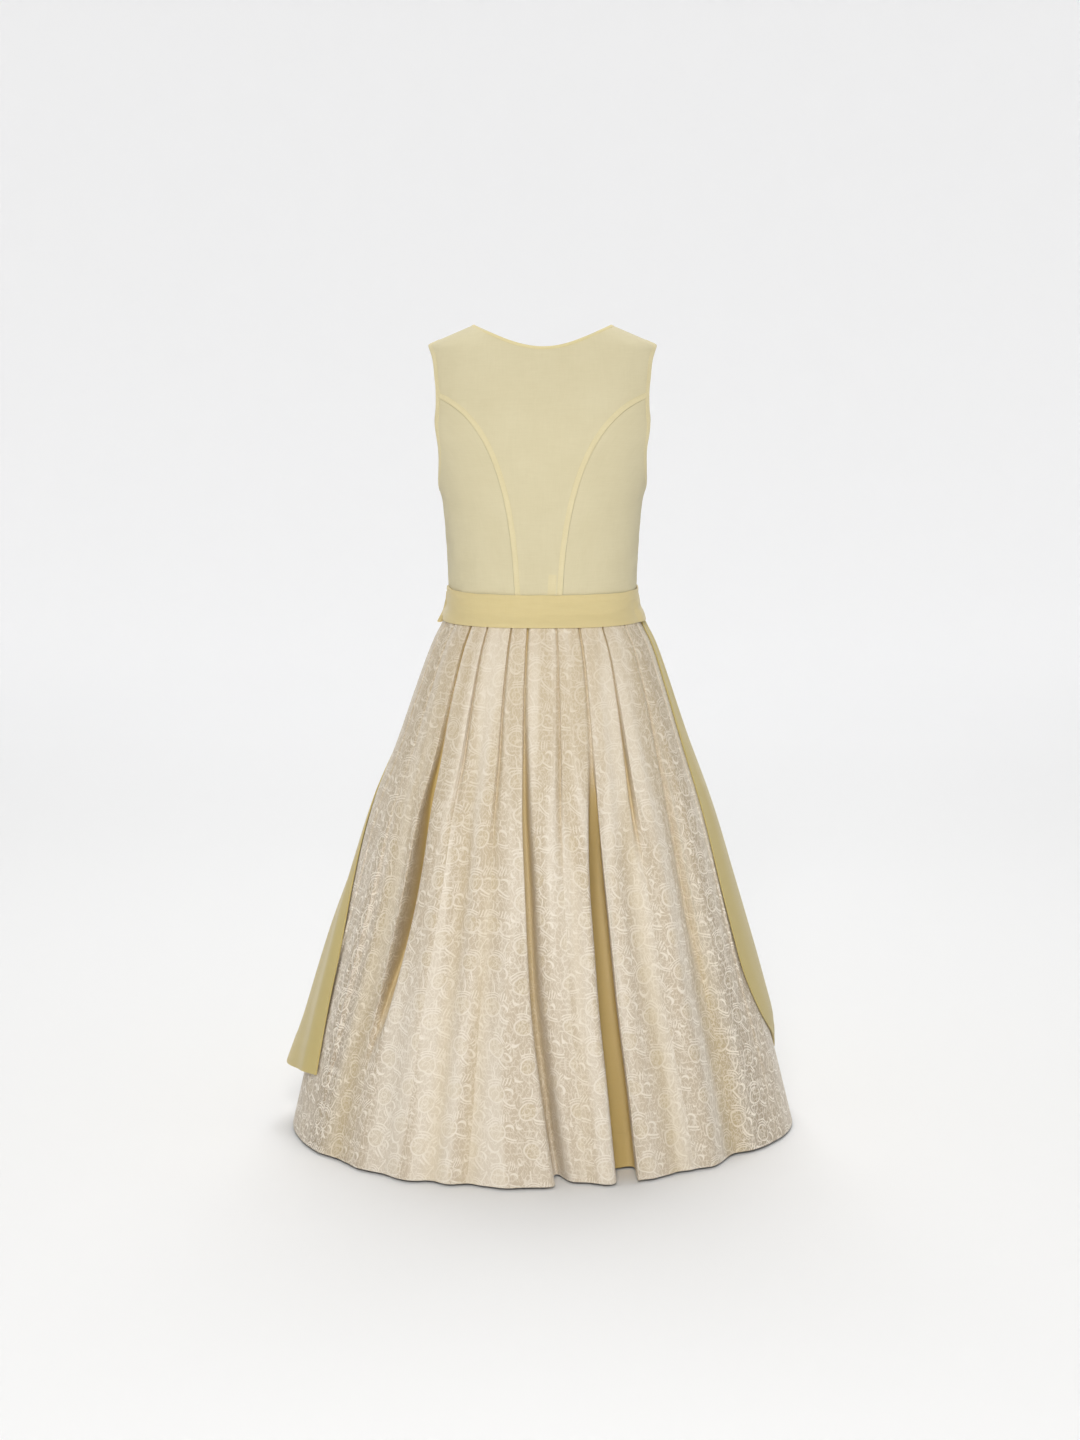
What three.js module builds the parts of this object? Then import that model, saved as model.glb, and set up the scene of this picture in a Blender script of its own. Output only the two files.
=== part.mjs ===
// A girl's dirndl, hollow as it is worn: a sleeveless seven-panel bodice that buttons in front,
// a pleated skirt in two widths, and an apron whose band ties in a bow over the left front.
//
// Units are millimetres. +Z is up, -Y is the wearer's front and +X the wearer's left.
// The origin lies midway between the two neck points, where the shoulder seams meet the neckline.
// Angles run round the body from the centre back (0), over the wearer's left (90), to the front (180).
import * as THREE from 'three';

const DEG = Math.PI / 180;

// ---------------------------------------------------------------- driving dimensions
const SEAM_GAP = 0.35;
const WALL = { bodice: 1.6, skirt: 1.6, apron: 1.2, band: 1.8, ribbon: 1.2 };

const WAIST_Z = -318;
const HEM_Z = -930;
const APRON_HEM_Z = -851;

// The body that the bodice is cut for. Sections are superellipses with their own back and front depth.
const TORSO_POWER = 2.4;
const TORSO = [
  { z: 0, halfWidth: 76.5, back: 42, front: 34 },
  { z: -22, halfWidth: 128, back: 54, front: 48 },
  { z: -60, halfWidth: 134.5, back: 74, front: 66 },
  { z: -104, halfWidth: 134.8, back: 85, front: 82 },
  { z: -140, halfWidth: 125.3, back: 88, front: 90 },
  { z: -181, halfWidth: 116.8, back: 87, front: 94 },
  { z: -197, halfWidth: 112.5, back: 86, front: 94 },
  { z: -243, halfWidth: 108.5, back: 81, front: 92 },
  { z: WAIST_Z, halfWidth: 105.5, back: 78, front: 87 },
];
const NECK = { halfWidth: 76.5, backDrop: 21.4, backPower: 1.2 };
const FRONT_NECK = { drop: 96, power: 2.6, round: 0.75 };
const SHOULDER_TIP_Z = -22;
const ARMHOLE = { middleZ: -101.5, halfHeight: 79.5, backReach: 48, frontReach: 42 };

// Princess seams, as curves across the body (x) and up it (z), from the waist to the armhole.
const BACK_SEAM = { waistX: 26.5, lowX: 28, lowZ: -215, highX: 44, highZ: -103, armholeZ: -78, drift: 4.5 };
const FRONT_SEAM = { waistX: 46, lowX: 50, lowZ: -240, highX: 58, highZ: -128, armholeZ: -96, drift: 0 };
const CLOSURE_X = 7; // the right front laps this far over the centre
const BUTTON = { count: 5, firstZ: -114, spacing: 42, radius: 5.5, rim: 1.3, height: 3.4, sides: 12 };

// The skirt's outermost outline, down from the waist.
const SKIRT_TOP_POWER = 2.4;
const SKIRT_HEM_POWER = 2.05;
const SKIRT = [
  { z: WAIST_Z, halfWidth: 107.5, back: 82, front: 90, shift: 0 },
  { z: -333, halfWidth: 113, back: 88, front: 95, shift: 0 },
  { z: -359, halfWidth: 126, back: 99, front: 104, shift: 0 },
  { z: -405, halfWidth: 143, back: 114, front: 118, shift: 0.5 },
  { z: -475, halfWidth: 167, back: 136, front: 138, shift: 1 },
  { z: -546, halfWidth: 193, back: 160, front: 160, shift: 2.5 },
  { z: -643, halfWidth: 220, back: 187, front: 184, shift: 2 },
  { z: -738, halfWidth: 246, back: 213, front: 208, shift: 2.5 },
  { z: -835, halfWidth: 272, back: 239, front: 232, shift: 0.5 },
  { z: HEM_Z, halfWidth: 295, back: 258, front: 250, shift: -0.5 },
];
const RIGHT_BACK_DENT = 22; // how far the hem falls in between the centre back and the right side
const SIDE_SEAM = 85; // degrees from the centre back

// Pleats of the back width. angle: at the waist; drift: how far it wanders by the hem; depth: how deep it
// falls once open; opens, closes: shares of the skirt's length; floor, slope: half the width of its open
// bottom and the width of its gentle side, in degrees; lap: 1 where the panel on the wearer's left laps
// over the pleat with a crisp edge, -1 where the panel on the right does.
const BACK_PLEATS = [
  { angle: -70, drift: -1, depth: 6, opens: 0.3, closes: 0.9, floor: 0.6, slope: 6, lap: -1 },
  { angle: -53, drift: -1, depth: 10, opens: 0.1, closes: 0.75, floor: 0.8, slope: 5, lap: -1 },
  { angle: -33, drift: -4, depth: 22, opens: 0.14, closes: 0.62, floor: 0.9, slope: 4.5, lap: -1 },
  { angle: -17, drift: -4, depth: 52, opens: 0.2, closes: 2, floor: 1.9, slope: 4.5, lap: -1 },
  { angle: -5.5, drift: -4, depth: 13, opens: 0.15, closes: 0.6, floor: 0.8, slope: 4, lap: -1 },
  { angle: 5, drift: -7, depth: 44, opens: 0.16, closes: 2, floor: 1.9, slope: 5, lap: 1 },
  { angle: 14.5, drift: 2, depth: 13, opens: 0.15, closes: 0.6, floor: 0.7, slope: 4, lap: 1 },
  { angle: 29.5, drift: 2, depth: 15, opens: 0.12, closes: 0.62, floor: 0.8, slope: 4, lap: 1 },
  { angle: 43.5, drift: 3, depth: 36, opens: 0.14, closes: 0.85, floor: 2, slope: 5.5, lap: 1 },
  { angle: 60, drift: 2, depth: 7, opens: 0.3, closes: 0.9, floor: 0.8, slope: 5, lap: 1 },
  { angle: 74, drift: 1, depth: 6, opens: 0.3, closes: 0.9, floor: 0.6, slope: 5, lap: 1 },
];
const FRONT_PLEATS = {
  count: 11, first: 97, spacing: 16, depth: 12, opens: 0.3, closes: 2, floor: 1, slope: 4,
};
const PLEAT = { topDepth: 4, closedDepth: 1.2, lapWidth: 1, openOver: 0.35, closeOver: 0.3, crown: 3 };
const PLEAT_SLOPE = [0, 0.35, 0.7, 1];
const SKIRT_HEIGHTS = [
  WAIST_Z - SEAM_GAP, -333, -350, -376, -412, -462, -525, -600, -680, -760, -808, APRON_HEM_Z, HEM_Z,
];

// The apron's side edges, as angles down its length (down: share of the apron's length).
const APRON_TOP_Z = -322;
const APRON_EDGE = [
  { down: 0, left: 106, right: 280, swell: 0 },
  { down: 0.25, left: 103, right: 286, swell: 0 },
  { down: 0.45, left: 93, right: 287.5, swell: 0 },
  { down: 0.6, left: 81, right: 288, swell: 2.5 },
  { down: 0.75, left: 73, right: 287, swell: 3 },
  { down: 0.88, left: 71, right: 281, swell: 5.5 },
  { down: 1, left: 69, right: 263, swell: 13 },
];
const APRON = { clear: 0.9, hemClear: 5.5, gathers: 16, gatherHeight: 0.9, columns: 60 };
const APRON_SWELL_WIDTH = 44; // degrees from the left edge over which the cloth swells away from the skirt
const APRON_CORNER_DROP = 9; // how far the hem hangs lower where the cloth swells
const APRON_EDGE_WIDTH = 9; // degrees over which each side edge comes down to lie on the skirt
const APRON_WAVES = { count: 7, height: 5 };

// The band, from its top edge to its bottom edge, and how far it stands off what it lies on.
const BAND = { topZ: -297, bottomZ: -333, clear: 0.6, columns: 60, overApron: 4, ramp: 9 };
const BAND_PEAK = { angle: 80, rise: 3.2, width: 9 };

// The bow, over the left front.
const BOW_ANGLE = 152;
const KNOT = { halfWidth: 10, halfHeight: 16, halfDepth: 7, seat: 0.4, z: -316, power: 3, around: 14, up: 8 };
const LOOPS = [
  { name: 'bow_loop_left', side: -1, start: 6.45 },
  { name: 'bow_loop_right', side: 1, start: 4.5 },
];
const LOOP = { reach: 27, middle: 16.5, belly: 19, neck: 8, halfWidth: 18, droop: 12 };
const LOOP_STEPS = { length: 14, width: 3 };
const TAILS = [
  { name: 'bow_tail_left', side: -1, topAngle: 1.5, endAngle: 9, endZ: -545, topLift: 0, lift: 0 },
  { name: 'bow_tail_right', side: 1, topAngle: 1.5, endAngle: 6, endZ: -515, topLift: 1.6, lift: 4.5 },
];
const TAIL = { topZ: -333.5, topHalf: 8, halfWidth: 18, topOff: 5.7, off: 8.2, wave: 1.6 };
const TAIL_STEPS = { length: 9, width: 3 };

// ---------------------------------------------------------------- small helpers
const clamp01 = (t) => Math.min(1, Math.max(0, t));
const smooth = (t) => clamp01(t) ** 2 * (3 - 2 * clamp01(t));
const mix = (a, b, t) => a + (b - a) * t;
const signedPower = (value, power) => Math.sign(value) * Math.abs(value) ** power;
const steps = (count) => Array.from({ length: count + 1 }, (_, i) => i / count);

// A monotone cubic through one column of a table, whose rows run in order of their key.
function along(table, column, at, key = 'z') {
  const rows = table[0][key] <= table[table.length - 1][key] ? table : [...table].reverse();
  const last = rows.length - 1;
  const t = Math.min(rows[last][key], Math.max(rows[0][key], at));
  let i = 0;
  while (i < last - 1 && t > rows[i + 1][key]) i += 1;
  const slope = (k) => (rows[k + 1][column] - rows[k][column]) / (rows[k + 1][key] - rows[k][key]);
  const tangent = (k) => {
    if (k === 0) return slope(0);
    if (k === last) return slope(last - 1);
    const before = slope(k - 1);
    const after = slope(k);
    return before * after <= 0 ? 0 : (2 * before * after) / (before + after);
  };
  const h = rows[i + 1][key] - rows[i][key];
  const s = (t - rows[i][key]) / h;
  const eased = 3 * s ** 2 - 2 * s ** 3;
  const rise = mix(rows[i][column], rows[i + 1][column], eased);
  return rise + h * ((s ** 3 - 2 * s ** 2 + s) * tangent(i) + (s ** 3 - s ** 2) * tangent(i + 1));
}

// A point of a superellipse section, at an angle from the centre back.
function onSection(section, angle, z) {
  const x = section.halfWidth * signedPower(Math.sin(angle), 2 / section.power);
  const c = signedPower(Math.cos(angle), 2 / section.power);
  return new THREE.Vector3(x, c * (c > 0 ? section.back : section.front), z);
}

// ---------------------------------------------------------------- walls of cloth
// A closed wall between two grids of points with the same rows and columns. A ring's columns close up.
function wallBetween(inner, outer, ring = false) {
  const rows = inner.length;
  const columns = inner[0].length;
  const points = [...inner.flat(), ...outer.flat()];
  const id = (layer, i, j) => layer * rows * columns + i * columns + (j % columns);
  const faces = [];
  const quad = (a, b, c, d) => faces.push(a, b, c, a, c, d);
  const lastColumn = ring ? columns : columns - 1;
  for (let i = 0; i < rows - 1; i += 1) {
    for (let j = 0; j < lastColumn; j += 1) {
      quad(id(1, i, j), id(1, i, j + 1), id(1, i + 1, j + 1), id(1, i + 1, j));
      quad(id(0, i, j), id(0, i + 1, j), id(0, i + 1, j + 1), id(0, i, j + 1));
    }
  }
  for (let j = 0; j < lastColumn; j += 1) {
    quad(id(0, 0, j), id(0, 0, j + 1), id(1, 0, j + 1), id(1, 0, j));
    quad(id(0, rows - 1, j), id(1, rows - 1, j), id(1, rows - 1, j + 1), id(0, rows - 1, j + 1));
  }
  for (let i = 0; i < rows - 1 && !ring; i += 1) {
    quad(id(0, i, 0), id(1, i, 0), id(1, i + 1, 0), id(0, i + 1, 0));
    quad(id(0, i, columns - 1), id(0, i + 1, columns - 1), id(1, i + 1, columns - 1), id(1, i, columns - 1));
  }
  let volume = 0;
  for (let k = 0; k < faces.length; k += 3) {
    volume += points[faces[k]].dot(points[faces[k + 1]].clone().cross(points[faces[k + 2]]));
  }
  if (volume < 0) faces.reverse();
  const geometry = new THREE.BufferGeometry().setFromPoints(points);
  geometry.setIndex(faces);
  geometry.computeVertexNormals();
  return geometry;
}

// The outward direction of a surface given as a function of two parameters, away from the body's axis.
function outward(surface, u, w, nudge) {
  const along1 = surface(u + nudge.u, w).sub(surface(u - nudge.u, w));
  const along2 = surface(u, w + nudge.w).sub(surface(u, w - nudge.w));
  const normal = along1.cross(along2).normalize();
  const here = surface(u, w);
  return normal.x * here.x + normal.y * here.y < 0 ? normal.negate() : normal;
}

const materials = {
  bodice: new THREE.MeshStandardMaterial({ color: 0xdbd2b1, roughness: 0.85, metalness: 0 }),
  skirt: new THREE.MeshStandardMaterial({ color: 0xd9cbb2, roughness: 0.6, metalness: 0 }),
  apron: new THREE.MeshStandardMaterial({ color: 0xc8b87c, roughness: 0.75, metalness: 0 }),
  button: new THREE.MeshStandardMaterial({ color: 0xd0c59c, roughness: 0.5, metalness: 0 }),
};
const dirndl = new THREE.Group();
dirndl.name = 'dirndl';

function addPiece(name, geometry, material) {
  const mesh = new THREE.Mesh(geometry, material);
  mesh.name = name;
  dirndl.add(mesh);
  return mesh;
}

// ---------------------------------------------------------------- the bodice
const SEAM_STEPS = 10;
const SHOULDER_STEPS = 3;
const ARMHOLE_STEPS = 3;

function torsoSection(z) {
  const shoulder = (NECK.halfWidth - TORSO[1].halfWidth) / -SHOULDER_TIP_Z;
  return {
    halfWidth: z > SHOULDER_TIP_Z ? NECK.halfWidth + shoulder * z : along(TORSO.slice(1), 'halfWidth', z),
    back: along(TORSO, 'back', z),
    front: along(TORSO, 'front', z),
    power: TORSO_POWER,
  };
}
const onTorso = (angle, z) => onSection(torsoSection(z), angle, z);
const torsoOutward = (angle, z) => outward(onTorso, angle, Math.min(z, -0.4), { u: 0.01, w: 0.4 });

// Where a point x across the body, at height z, lies round it: on the back, or on the front.
function angleAcross(x, z, front) {
  const share = Math.min(1, Math.abs(x) / torsoSection(z).halfWidth);
  const angle = Math.asin(share ** (TORSO_POWER / 2)) * Math.sign(x || 1);
  return front ? Math.PI - angle : angle;
}

// Where an armhole passes, at turn 0 on the shoulder tip and at turn PI under the arm.
function armholePoint(turn, side, front) {
  const z = ARMHOLE.middleZ + ARMHOLE.halfHeight * Math.cos(turn);
  const reach = (front ? ARMHOLE.frontReach : ARMHOLE.backReach) * Math.sin(turn);
  const depth = torsoSection(z)[front ? 'front' : 'back'];
  const fromBack = Math.acos(clamp01(reach / depth) ** (TORSO_POWER / 2));
  return new THREE.Vector2(side * (front ? Math.PI - fromBack : fromBack), z);
}
const armholeTurn = (z) => Math.acos((z - ARMHOLE.middleZ) / ARMHOLE.halfHeight);

// A princess seam, from the waist up to the armhole, as angles and heights.
function princessSeam(seam, side, front) {
  const end = armholePoint(armholeTurn(seam.armholeZ), 1, front);
  const endX = onTorso(end.x, end.y).x;
  const curve = new THREE.CubicBezierCurve(
    new THREE.Vector2(seam.waistX, WAIST_Z),
    new THREE.Vector2(seam.lowX, seam.lowZ),
    new THREE.Vector2(seam.highX, seam.highZ),
    new THREE.Vector2(endX, seam.armholeZ),
  );
  return steps(SEAM_STEPS).map((step) => {
    const t = 1 - (1 - step) ** 1.25;
    const p = curve.getPoint(t);
    const x = side * p.x + seam.drift * (1 - t ** 2);
    return new THREE.Vector2(side * angleAcross(side * x, p.y, front), p.y);
  });
}
// The stretch of an armhole from a princess seam up to the shoulder tip, without its first point.
function armholeToTip(seam, side, front) {
  const start = armholeTurn(seam.armholeZ);
  return steps(ARMHOLE_STEPS).slice(1).map((t) => armholePoint(start * (1 - t), side, front));
}

// The stretch of an armhole from a princess seam down to the side seam.
function armholeToSide(seam, side, front, count) {
  const start = armholeTurn(seam.armholeZ);
  return steps(count).map((t) => armholePoint(mix(start, Math.PI, t), side, front));
}
const shoulderSeam = (side) =>
  steps(SHOULDER_STEPS).map((t) => new THREE.Vector2((side * Math.PI) / 2, SHOULDER_TIP_Z * (1 - t)));

function backNeckline(count) {
  return steps(count).map((t) => {
    const x = NECK.halfWidth * (1 - 2 * t);
    const share = clamp01(Math.abs(x) / NECK.halfWidth);
    const z = -NECK.backDrop * Math.cos((Math.PI / 2) * share) ** NECK.backPower;
    return new THREE.Vector2(angleAcross(x, z, false), z);
  });
}
const frontNeckZ = (x) =>
  -FRONT_NECK.drop * (1 - clamp01(Math.abs(x) / NECK.halfWidth) ** FRONT_NECK.power) ** FRONT_NECK.round;

// A patch of the body between four edges, given as angles and heights: a Coons blend of the edges
// in which the top edge's uneven spacing fades quickly downwards.
function patch(left, right, bottom, top) {
  const rows = left.length - 1;
  const columns = bottom.length - 1;
  return left.map((_, i) => bottom.map((__, j) => {
    const t = (i / rows) ** 3;
    const s = j / columns;
    const blend = (k) => mix(left[i][k], right[i][k], s) + mix(bottom[j][k], top[j][k], t)
      - mix(mix(bottom[0][k], bottom[columns][k], s), mix(top[0][k], top[columns][k], s), t);
    return new THREE.Vector2(blend('x'), blend('y'));
  }));
}

// Draws a panel's four edges in by half a seam gap, along the cloth.
function trimmed(points, outwards) {
  const rows = points.length;
  const columns = points[0].length;
  const moved = points.map((row) => row.map((p) => p.clone()));
  const draw = (i, j, di, dj) => {
    const before = points[Math.max(0, i - Math.abs(dj))][Math.max(0, j - Math.abs(di))];
    const after = points[Math.min(rows - 1, i + Math.abs(dj))][Math.min(columns - 1, j + Math.abs(di))];
    const across = after.clone().sub(before).cross(outwards[i][j]).normalize();
    const inside = points[i + di][j + dj].clone().sub(points[i][j]);
    moved[i][j].addScaledVector(across, (Math.sign(across.dot(inside)) * SEAM_GAP) / 2);
  };
  for (let i = 0; i < rows; i += 1) {
    draw(i, 0, 0, 1);
    draw(i, columns - 1, 0, -1);
  }
  for (let j = 0; j < columns; j += 1) {
    draw(0, j, 1, 0);
    draw(rows - 1, j, -1, 0);
  }
  return moved;
}

function addPanel(name, left, right, bottom, top) {
  const places = patch(left, right, bottom, top);
  const outwards = places.map((row) => row.map((p) => torsoOutward(p.x, p.y)));
  const inner = trimmed(places.map((row) => row.map((p) => onTorso(p.x, p.y))), outwards);
  const moved = (p, i, j) => p.clone().addScaledVector(outwards[i][j], WALL.bodice);
  const outer = inner.map((row, i) => row.map((p, j) => moved(p, i, j)));
  addPiece(name, wallBetween(inner, outer), materials.bodice);
}
const waistFrom = (from, to, count) => steps(count).map((t) => new THREE.Vector2(mix(from, to, t), WAIST_Z));

function addBodice() {
  const sides = [{ name: 'left', side: 1 }, { name: 'right', side: -1 }];
  const edgeOf = (...where) => [...princessSeam(...where), ...armholeToTip(...where)];
  const neckline = backNeckline(8);
  const backTop = [...shoulderSeam(1), ...neckline.slice(1, -1), ...shoulderSeam(-1).reverse()];
  const left = edgeOf(BACK_SEAM, 1, false);
  const right = edgeOf(BACK_SEAM, -1, false);
  addPanel('bodice_back', left, right, waistFrom(left[0].x, right[0].x, backTop.length - 1), backTop);

  sides.forEach(({ name, side }) => {
    const sideSeam = steps(SEAM_STEPS).map((t) => {
      const underarm = ARMHOLE.middleZ - ARMHOLE.halfHeight;
      return new THREE.Vector2((side * Math.PI) / 2, mix(WAIST_Z, underarm, t));
    });
    const seamColumns = 6;
    [['back', BACK_SEAM, false], ['front', FRONT_SEAM, true]].forEach(([label, seam, front]) => {
      const edge = princessSeam(seam, side, front);
      const waist = waistFrom(edge[0].x, sideSeam[0].x, seamColumns);
      const underarm = armholeToSide(seam, side, front, seamColumns);
      addPanel(`bodice_side_${label}_${name}`, edge, sideSeam, waist, underarm);
    });

    const outer = edgeOf(FRONT_SEAM, side, true);
    const closureSide = (x, z) => side * Math.PI - side * angleAcross(side * x, z, false);
    const neckBottom = frontNeckZ(CLOSURE_X);
    const closure = steps(outer.length - 1).map((t) => {
      const z = mix(WAIST_Z, neckBottom, t);
      return new THREE.Vector2(closureSide(CLOSURE_X, z), z);
    });
    const neck = steps(7).map((t) => {
      const x = mix(side * NECK.halfWidth, CLOSURE_X, 1 - (1 - t) ** 1.6);
      const z = frontNeckZ(x);
      return new THREE.Vector2(closureSide(x, z), z);
    });
    const top = [...shoulderSeam(side), ...neck.slice(1)];
    const waist = waistFrom(outer[0].x, closure[0].x, top.length - 1);
    addPanel(`bodice_front_${name}`, outer, closure, waist, top);
  });
}

// Domed buttons down the right front, on the centre line.
function addButtons() {
  const profile = [
    new THREE.Vector2(0, 0),
    new THREE.Vector2(BUTTON.radius, 0),
    new THREE.Vector2(BUTTON.radius, BUTTON.rim),
    ...steps(3).slice(1).map((t) => new THREE.Vector2(
      BUTTON.radius * Math.cos((t * Math.PI) / 2),
      mix(BUTTON.rim, BUTTON.height, Math.sin((t * Math.PI) / 2)),
    )),
  ];
  profile[profile.length - 1].x = 0;
  for (let k = 0; k < BUTTON.count; k += 1) {
    const z = BUTTON.firstZ - k * BUTTON.spacing;
    const out = torsoOutward(Math.PI, z);
    const dome = new THREE.LatheGeometry(profile, BUTTON.sides);
    const button = addPiece(`button_${k + 1}`, dome, materials.button);
    button.position.copy(onTorso(Math.PI, z)).addScaledVector(out, WALL.bodice + SEAM_GAP);
    button.quaternion.setFromUnitVectors(new THREE.Vector3(0, 1, 0), out);
  }
}

// ---------------------------------------------------------------- the skirt
function skirtSection(z) {
  const down = (WAIST_Z - z) / (WAIST_Z - HEM_Z);
  return {
    halfWidth: along(SKIRT, 'halfWidth', z),
    back: along(SKIRT, 'back', z),
    front: along(SKIRT, 'front', z),
    shift: along(SKIRT, 'shift', z),
    power: mix(SKIRT_TOP_POWER, SKIRT_HEM_POWER, smooth(down * 2)),
  };
}

// A point off the skirt's outline: moved level with the ground, square to the outline. Angles are in degrees.
function offSkirt(angle, z, off) {
  const section = skirtSection(z);
  const at = (a) => onSection(section, a * DEG, z);
  const point = at(angle);
  const tangent = at(angle + 0.5).sub(at(angle - 0.5));
  const out = new THREE.Vector3(tangent.y, -tangent.x, 0).normalize();
  if (out.dot(point) < 0) out.negate();
  const down = clamp01((WAIST_Z - z) / (WAIST_Z - HEM_Z));
  const round = ((angle % 360) + 360) % 360;
  const dent = round > 270 ? RIGHT_BACK_DENT * down ** 2 * Math.sin((round - 270) * 2 * DEG) ** 2 : 0;
  point.x += section.shift;
  return point.addScaledVector(out, off - dent);
}

// One pleat at a share of the skirt's length: where its bottom lies, and how deep and wide it is.
function pleatAt(pleat, down) {
  const open = smooth((down - pleat.opens) / PLEAT.openOver);
  const closed = smooth((down - pleat.closes) / PLEAT.closeOver);
  const width = mix(0.5, 1, smooth(down * 2.2));
  return {
    middle: pleat.angle + pleat.drift * down ** 2,
    depth: mix(mix(PLEAT.topDepth, pleat.depth, open), PLEAT.closedDepth, closed),
    floor: pleat.floor * mix(0.2, 1, open) * (1 - 0.5 * closed),
    lap: PLEAT.lapWidth * width * (1 + 1.5 * closed),
    slope: pleat.slope * width,
    side: pleat.lap,
  };
}

// A row of a pleated width: angles and offsets at each pleat's slope, floor and lap, and on each face.
function pleatedRow(pleats, from, to, down, faceSteps) {
  const stops = [{ angle: from, off: 0 }];
  pleats.forEach((pleat) => {
    const p = pleatAt(pleat, down);
    const across = PLEAT_SLOPE.map((t) => ({ at: -(p.floor + p.slope * (1 - t)), share: smooth(t) }));
    across.push({ at: p.floor, share: 1 }, { at: p.floor + p.lap, share: 0 });
    const points = across.map(({ at, share }) => ({ angle: p.middle + p.side * at, off: -p.depth * share }));
    stops.push(...(p.side > 0 ? points : points.reverse()));
  });
  stops.push({ angle: to, off: 0 });
  const crown = PLEAT.crown * smooth(down * 1.5);
  const row = [];
  for (let k = 0; k < stops.length; k += 1) {
    const flat = k + 1 < stops.length && stops[k].off === 0 && stops[k + 1].off === 0;
    const edge = stops[k].off === 0 ? -crown * 0.5 : 0;
    row.push({ angle: stops[k].angle, off: stops[k].off + edge });
    for (let f = 1; flat && f <= faceSteps; f += 1) {
      const t = f / (faceSteps + 1);
      row.push({ angle: mix(stops[k].angle, stops[k + 1].angle, t), off: -crown * 0.5 * (2 * t - 1) ** 2 });
    }
  }
  return row;
}

function addSkirtWidth(name, pleats, from, to, faceSteps) {
  const gapAngle = (z) => SEAM_GAP / 2 / skirtSection(z).back / DEG;
  const layer = (depth) => SKIRT_HEIGHTS.map((z) => {
    const down = (z - SKIRT_HEIGHTS[0]) / (HEM_Z - SKIRT_HEIGHTS[0]);
    return pleatedRow(pleats, from + gapAngle(z), to - gapAngle(z), down, faceSteps)
      .map(({ angle, off }) => offSkirt(angle, z, off - depth));
  });
  addPiece(name, wallBetween(layer(WALL.skirt), layer(0)), materials.skirt);
}

function addSkirt() {
  const { count, first, spacing, ...shape } = FRONT_PLEATS;
  const frontPleats = Array.from({ length: count }, (_, k) => {
    const angle = first + k * spacing + 6 * Math.sin(k * 2.3) * 0.4;
    return { ...shape, angle, drift: Math.sin(k * 1.7), lap: angle < 180 ? 1 : -1 };
  });
  addSkirtWidth('skirt_back', BACK_PLEATS, -SIDE_SEAM, SIDE_SEAM, 2);
  addSkirtWidth('skirt_front', frontPleats, SIDE_SEAM, 360 - SIDE_SEAM, 1);
}

// ---------------------------------------------------------------- the apron
const apronSwell = (fromLeft) => Math.sin(Math.PI * clamp01(fromLeft / APRON_SWELL_WIDTH)) ** 2;

// How far the apron's inner face stands off the skirt, across (0 left edge to 1 right edge) and down it.
function apronOff(across, down) {
  const width = along(APRON_EDGE, 'right', down, 'down') - along(APRON_EDGE, 'left', down, 'down');
  const fromLeft = across * width;
  const free = smooth(Math.min(fromLeft, width - fromLeft) / APRON_EDGE_WIDTH + 0.35);
  const swell = apronSwell(fromLeft) * along(APRON_EDGE, 'swell', down, 'down');
  const gathers = 1 + Math.cos(2 * Math.PI * APRON.gathers * across);
  const gather = APRON.gatherHeight * (1 - smooth((down - 0.1) / 0.5)) * gathers;
  const phase = 2 * Math.PI * (APRON_WAVES.count * across + 0.35 * Math.sin(5 * across));
  const wave = APRON_WAVES.height * smooth((down - 0.05) / 0.8) * (1 + Math.cos(phase)) * 0.5;
  const rise = (APRON.hemClear - APRON.clear) * smooth(down * 1.3 - 0.3);
  return APRON.clear + free * (rise + gather + wave) + swell;
}

function addApron() {
  const heights = [APRON_TOP_Z, ...SKIRT_HEIGHTS.slice(1, -1)];
  const layer = (extra) => heights.map((z) => {
    const down = (z - APRON_TOP_Z) / (APRON_HEM_Z - APRON_TOP_Z);
    const left = along(APRON_EDGE, 'left', down, 'down');
    const right = along(APRON_EDGE, 'right', down, 'down');
    return steps(APRON.columns).map((across) => {
      const point = offSkirt(mix(left, right, across), z, apronOff(across, down) + extra);
      point.z -= APRON_CORNER_DROP * apronSwell(across * (right - left)) * smooth(down * 3 - 2);
      return point;
    });
  });
  addPiece('apron_panel', wallBetween(layer(0), layer(WALL.apron)), materials.apron);
}

// The band: a ring on the bodice above the waist and on the skirt and apron below it.
function bandOff(angle, z) {
  const turned = (angle + 360) % 360;
  const { left, right } = APRON_EDGE[0];
  const overApron = smooth(1.3 + (turned - left) / BAND.ramp) * smooth(1.3 + (right - turned) / BAND.ramp);
  return BAND.clear + BAND.overApron * overApron * smooth((BAND.topZ - 6 - z) / 14);
}

function bandPoint(angle, z, extra) {
  const off = bandOff(angle, z) + extra;
  if (z < WAIST_Z) return offSkirt(angle, z, off);
  const out = torsoOutward(angle * DEG, z).setZ(0).normalize();
  const onBodice = onTorso(angle * DEG, z).addScaledVector(out, WALL.bodice + off);
  const lower = smooth((BAND.topZ - z) / (BAND.topZ - WAIST_Z));
  return onBodice.lerp(offSkirt(angle, WAIST_Z, off).setZ(z), lower);
}

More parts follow.
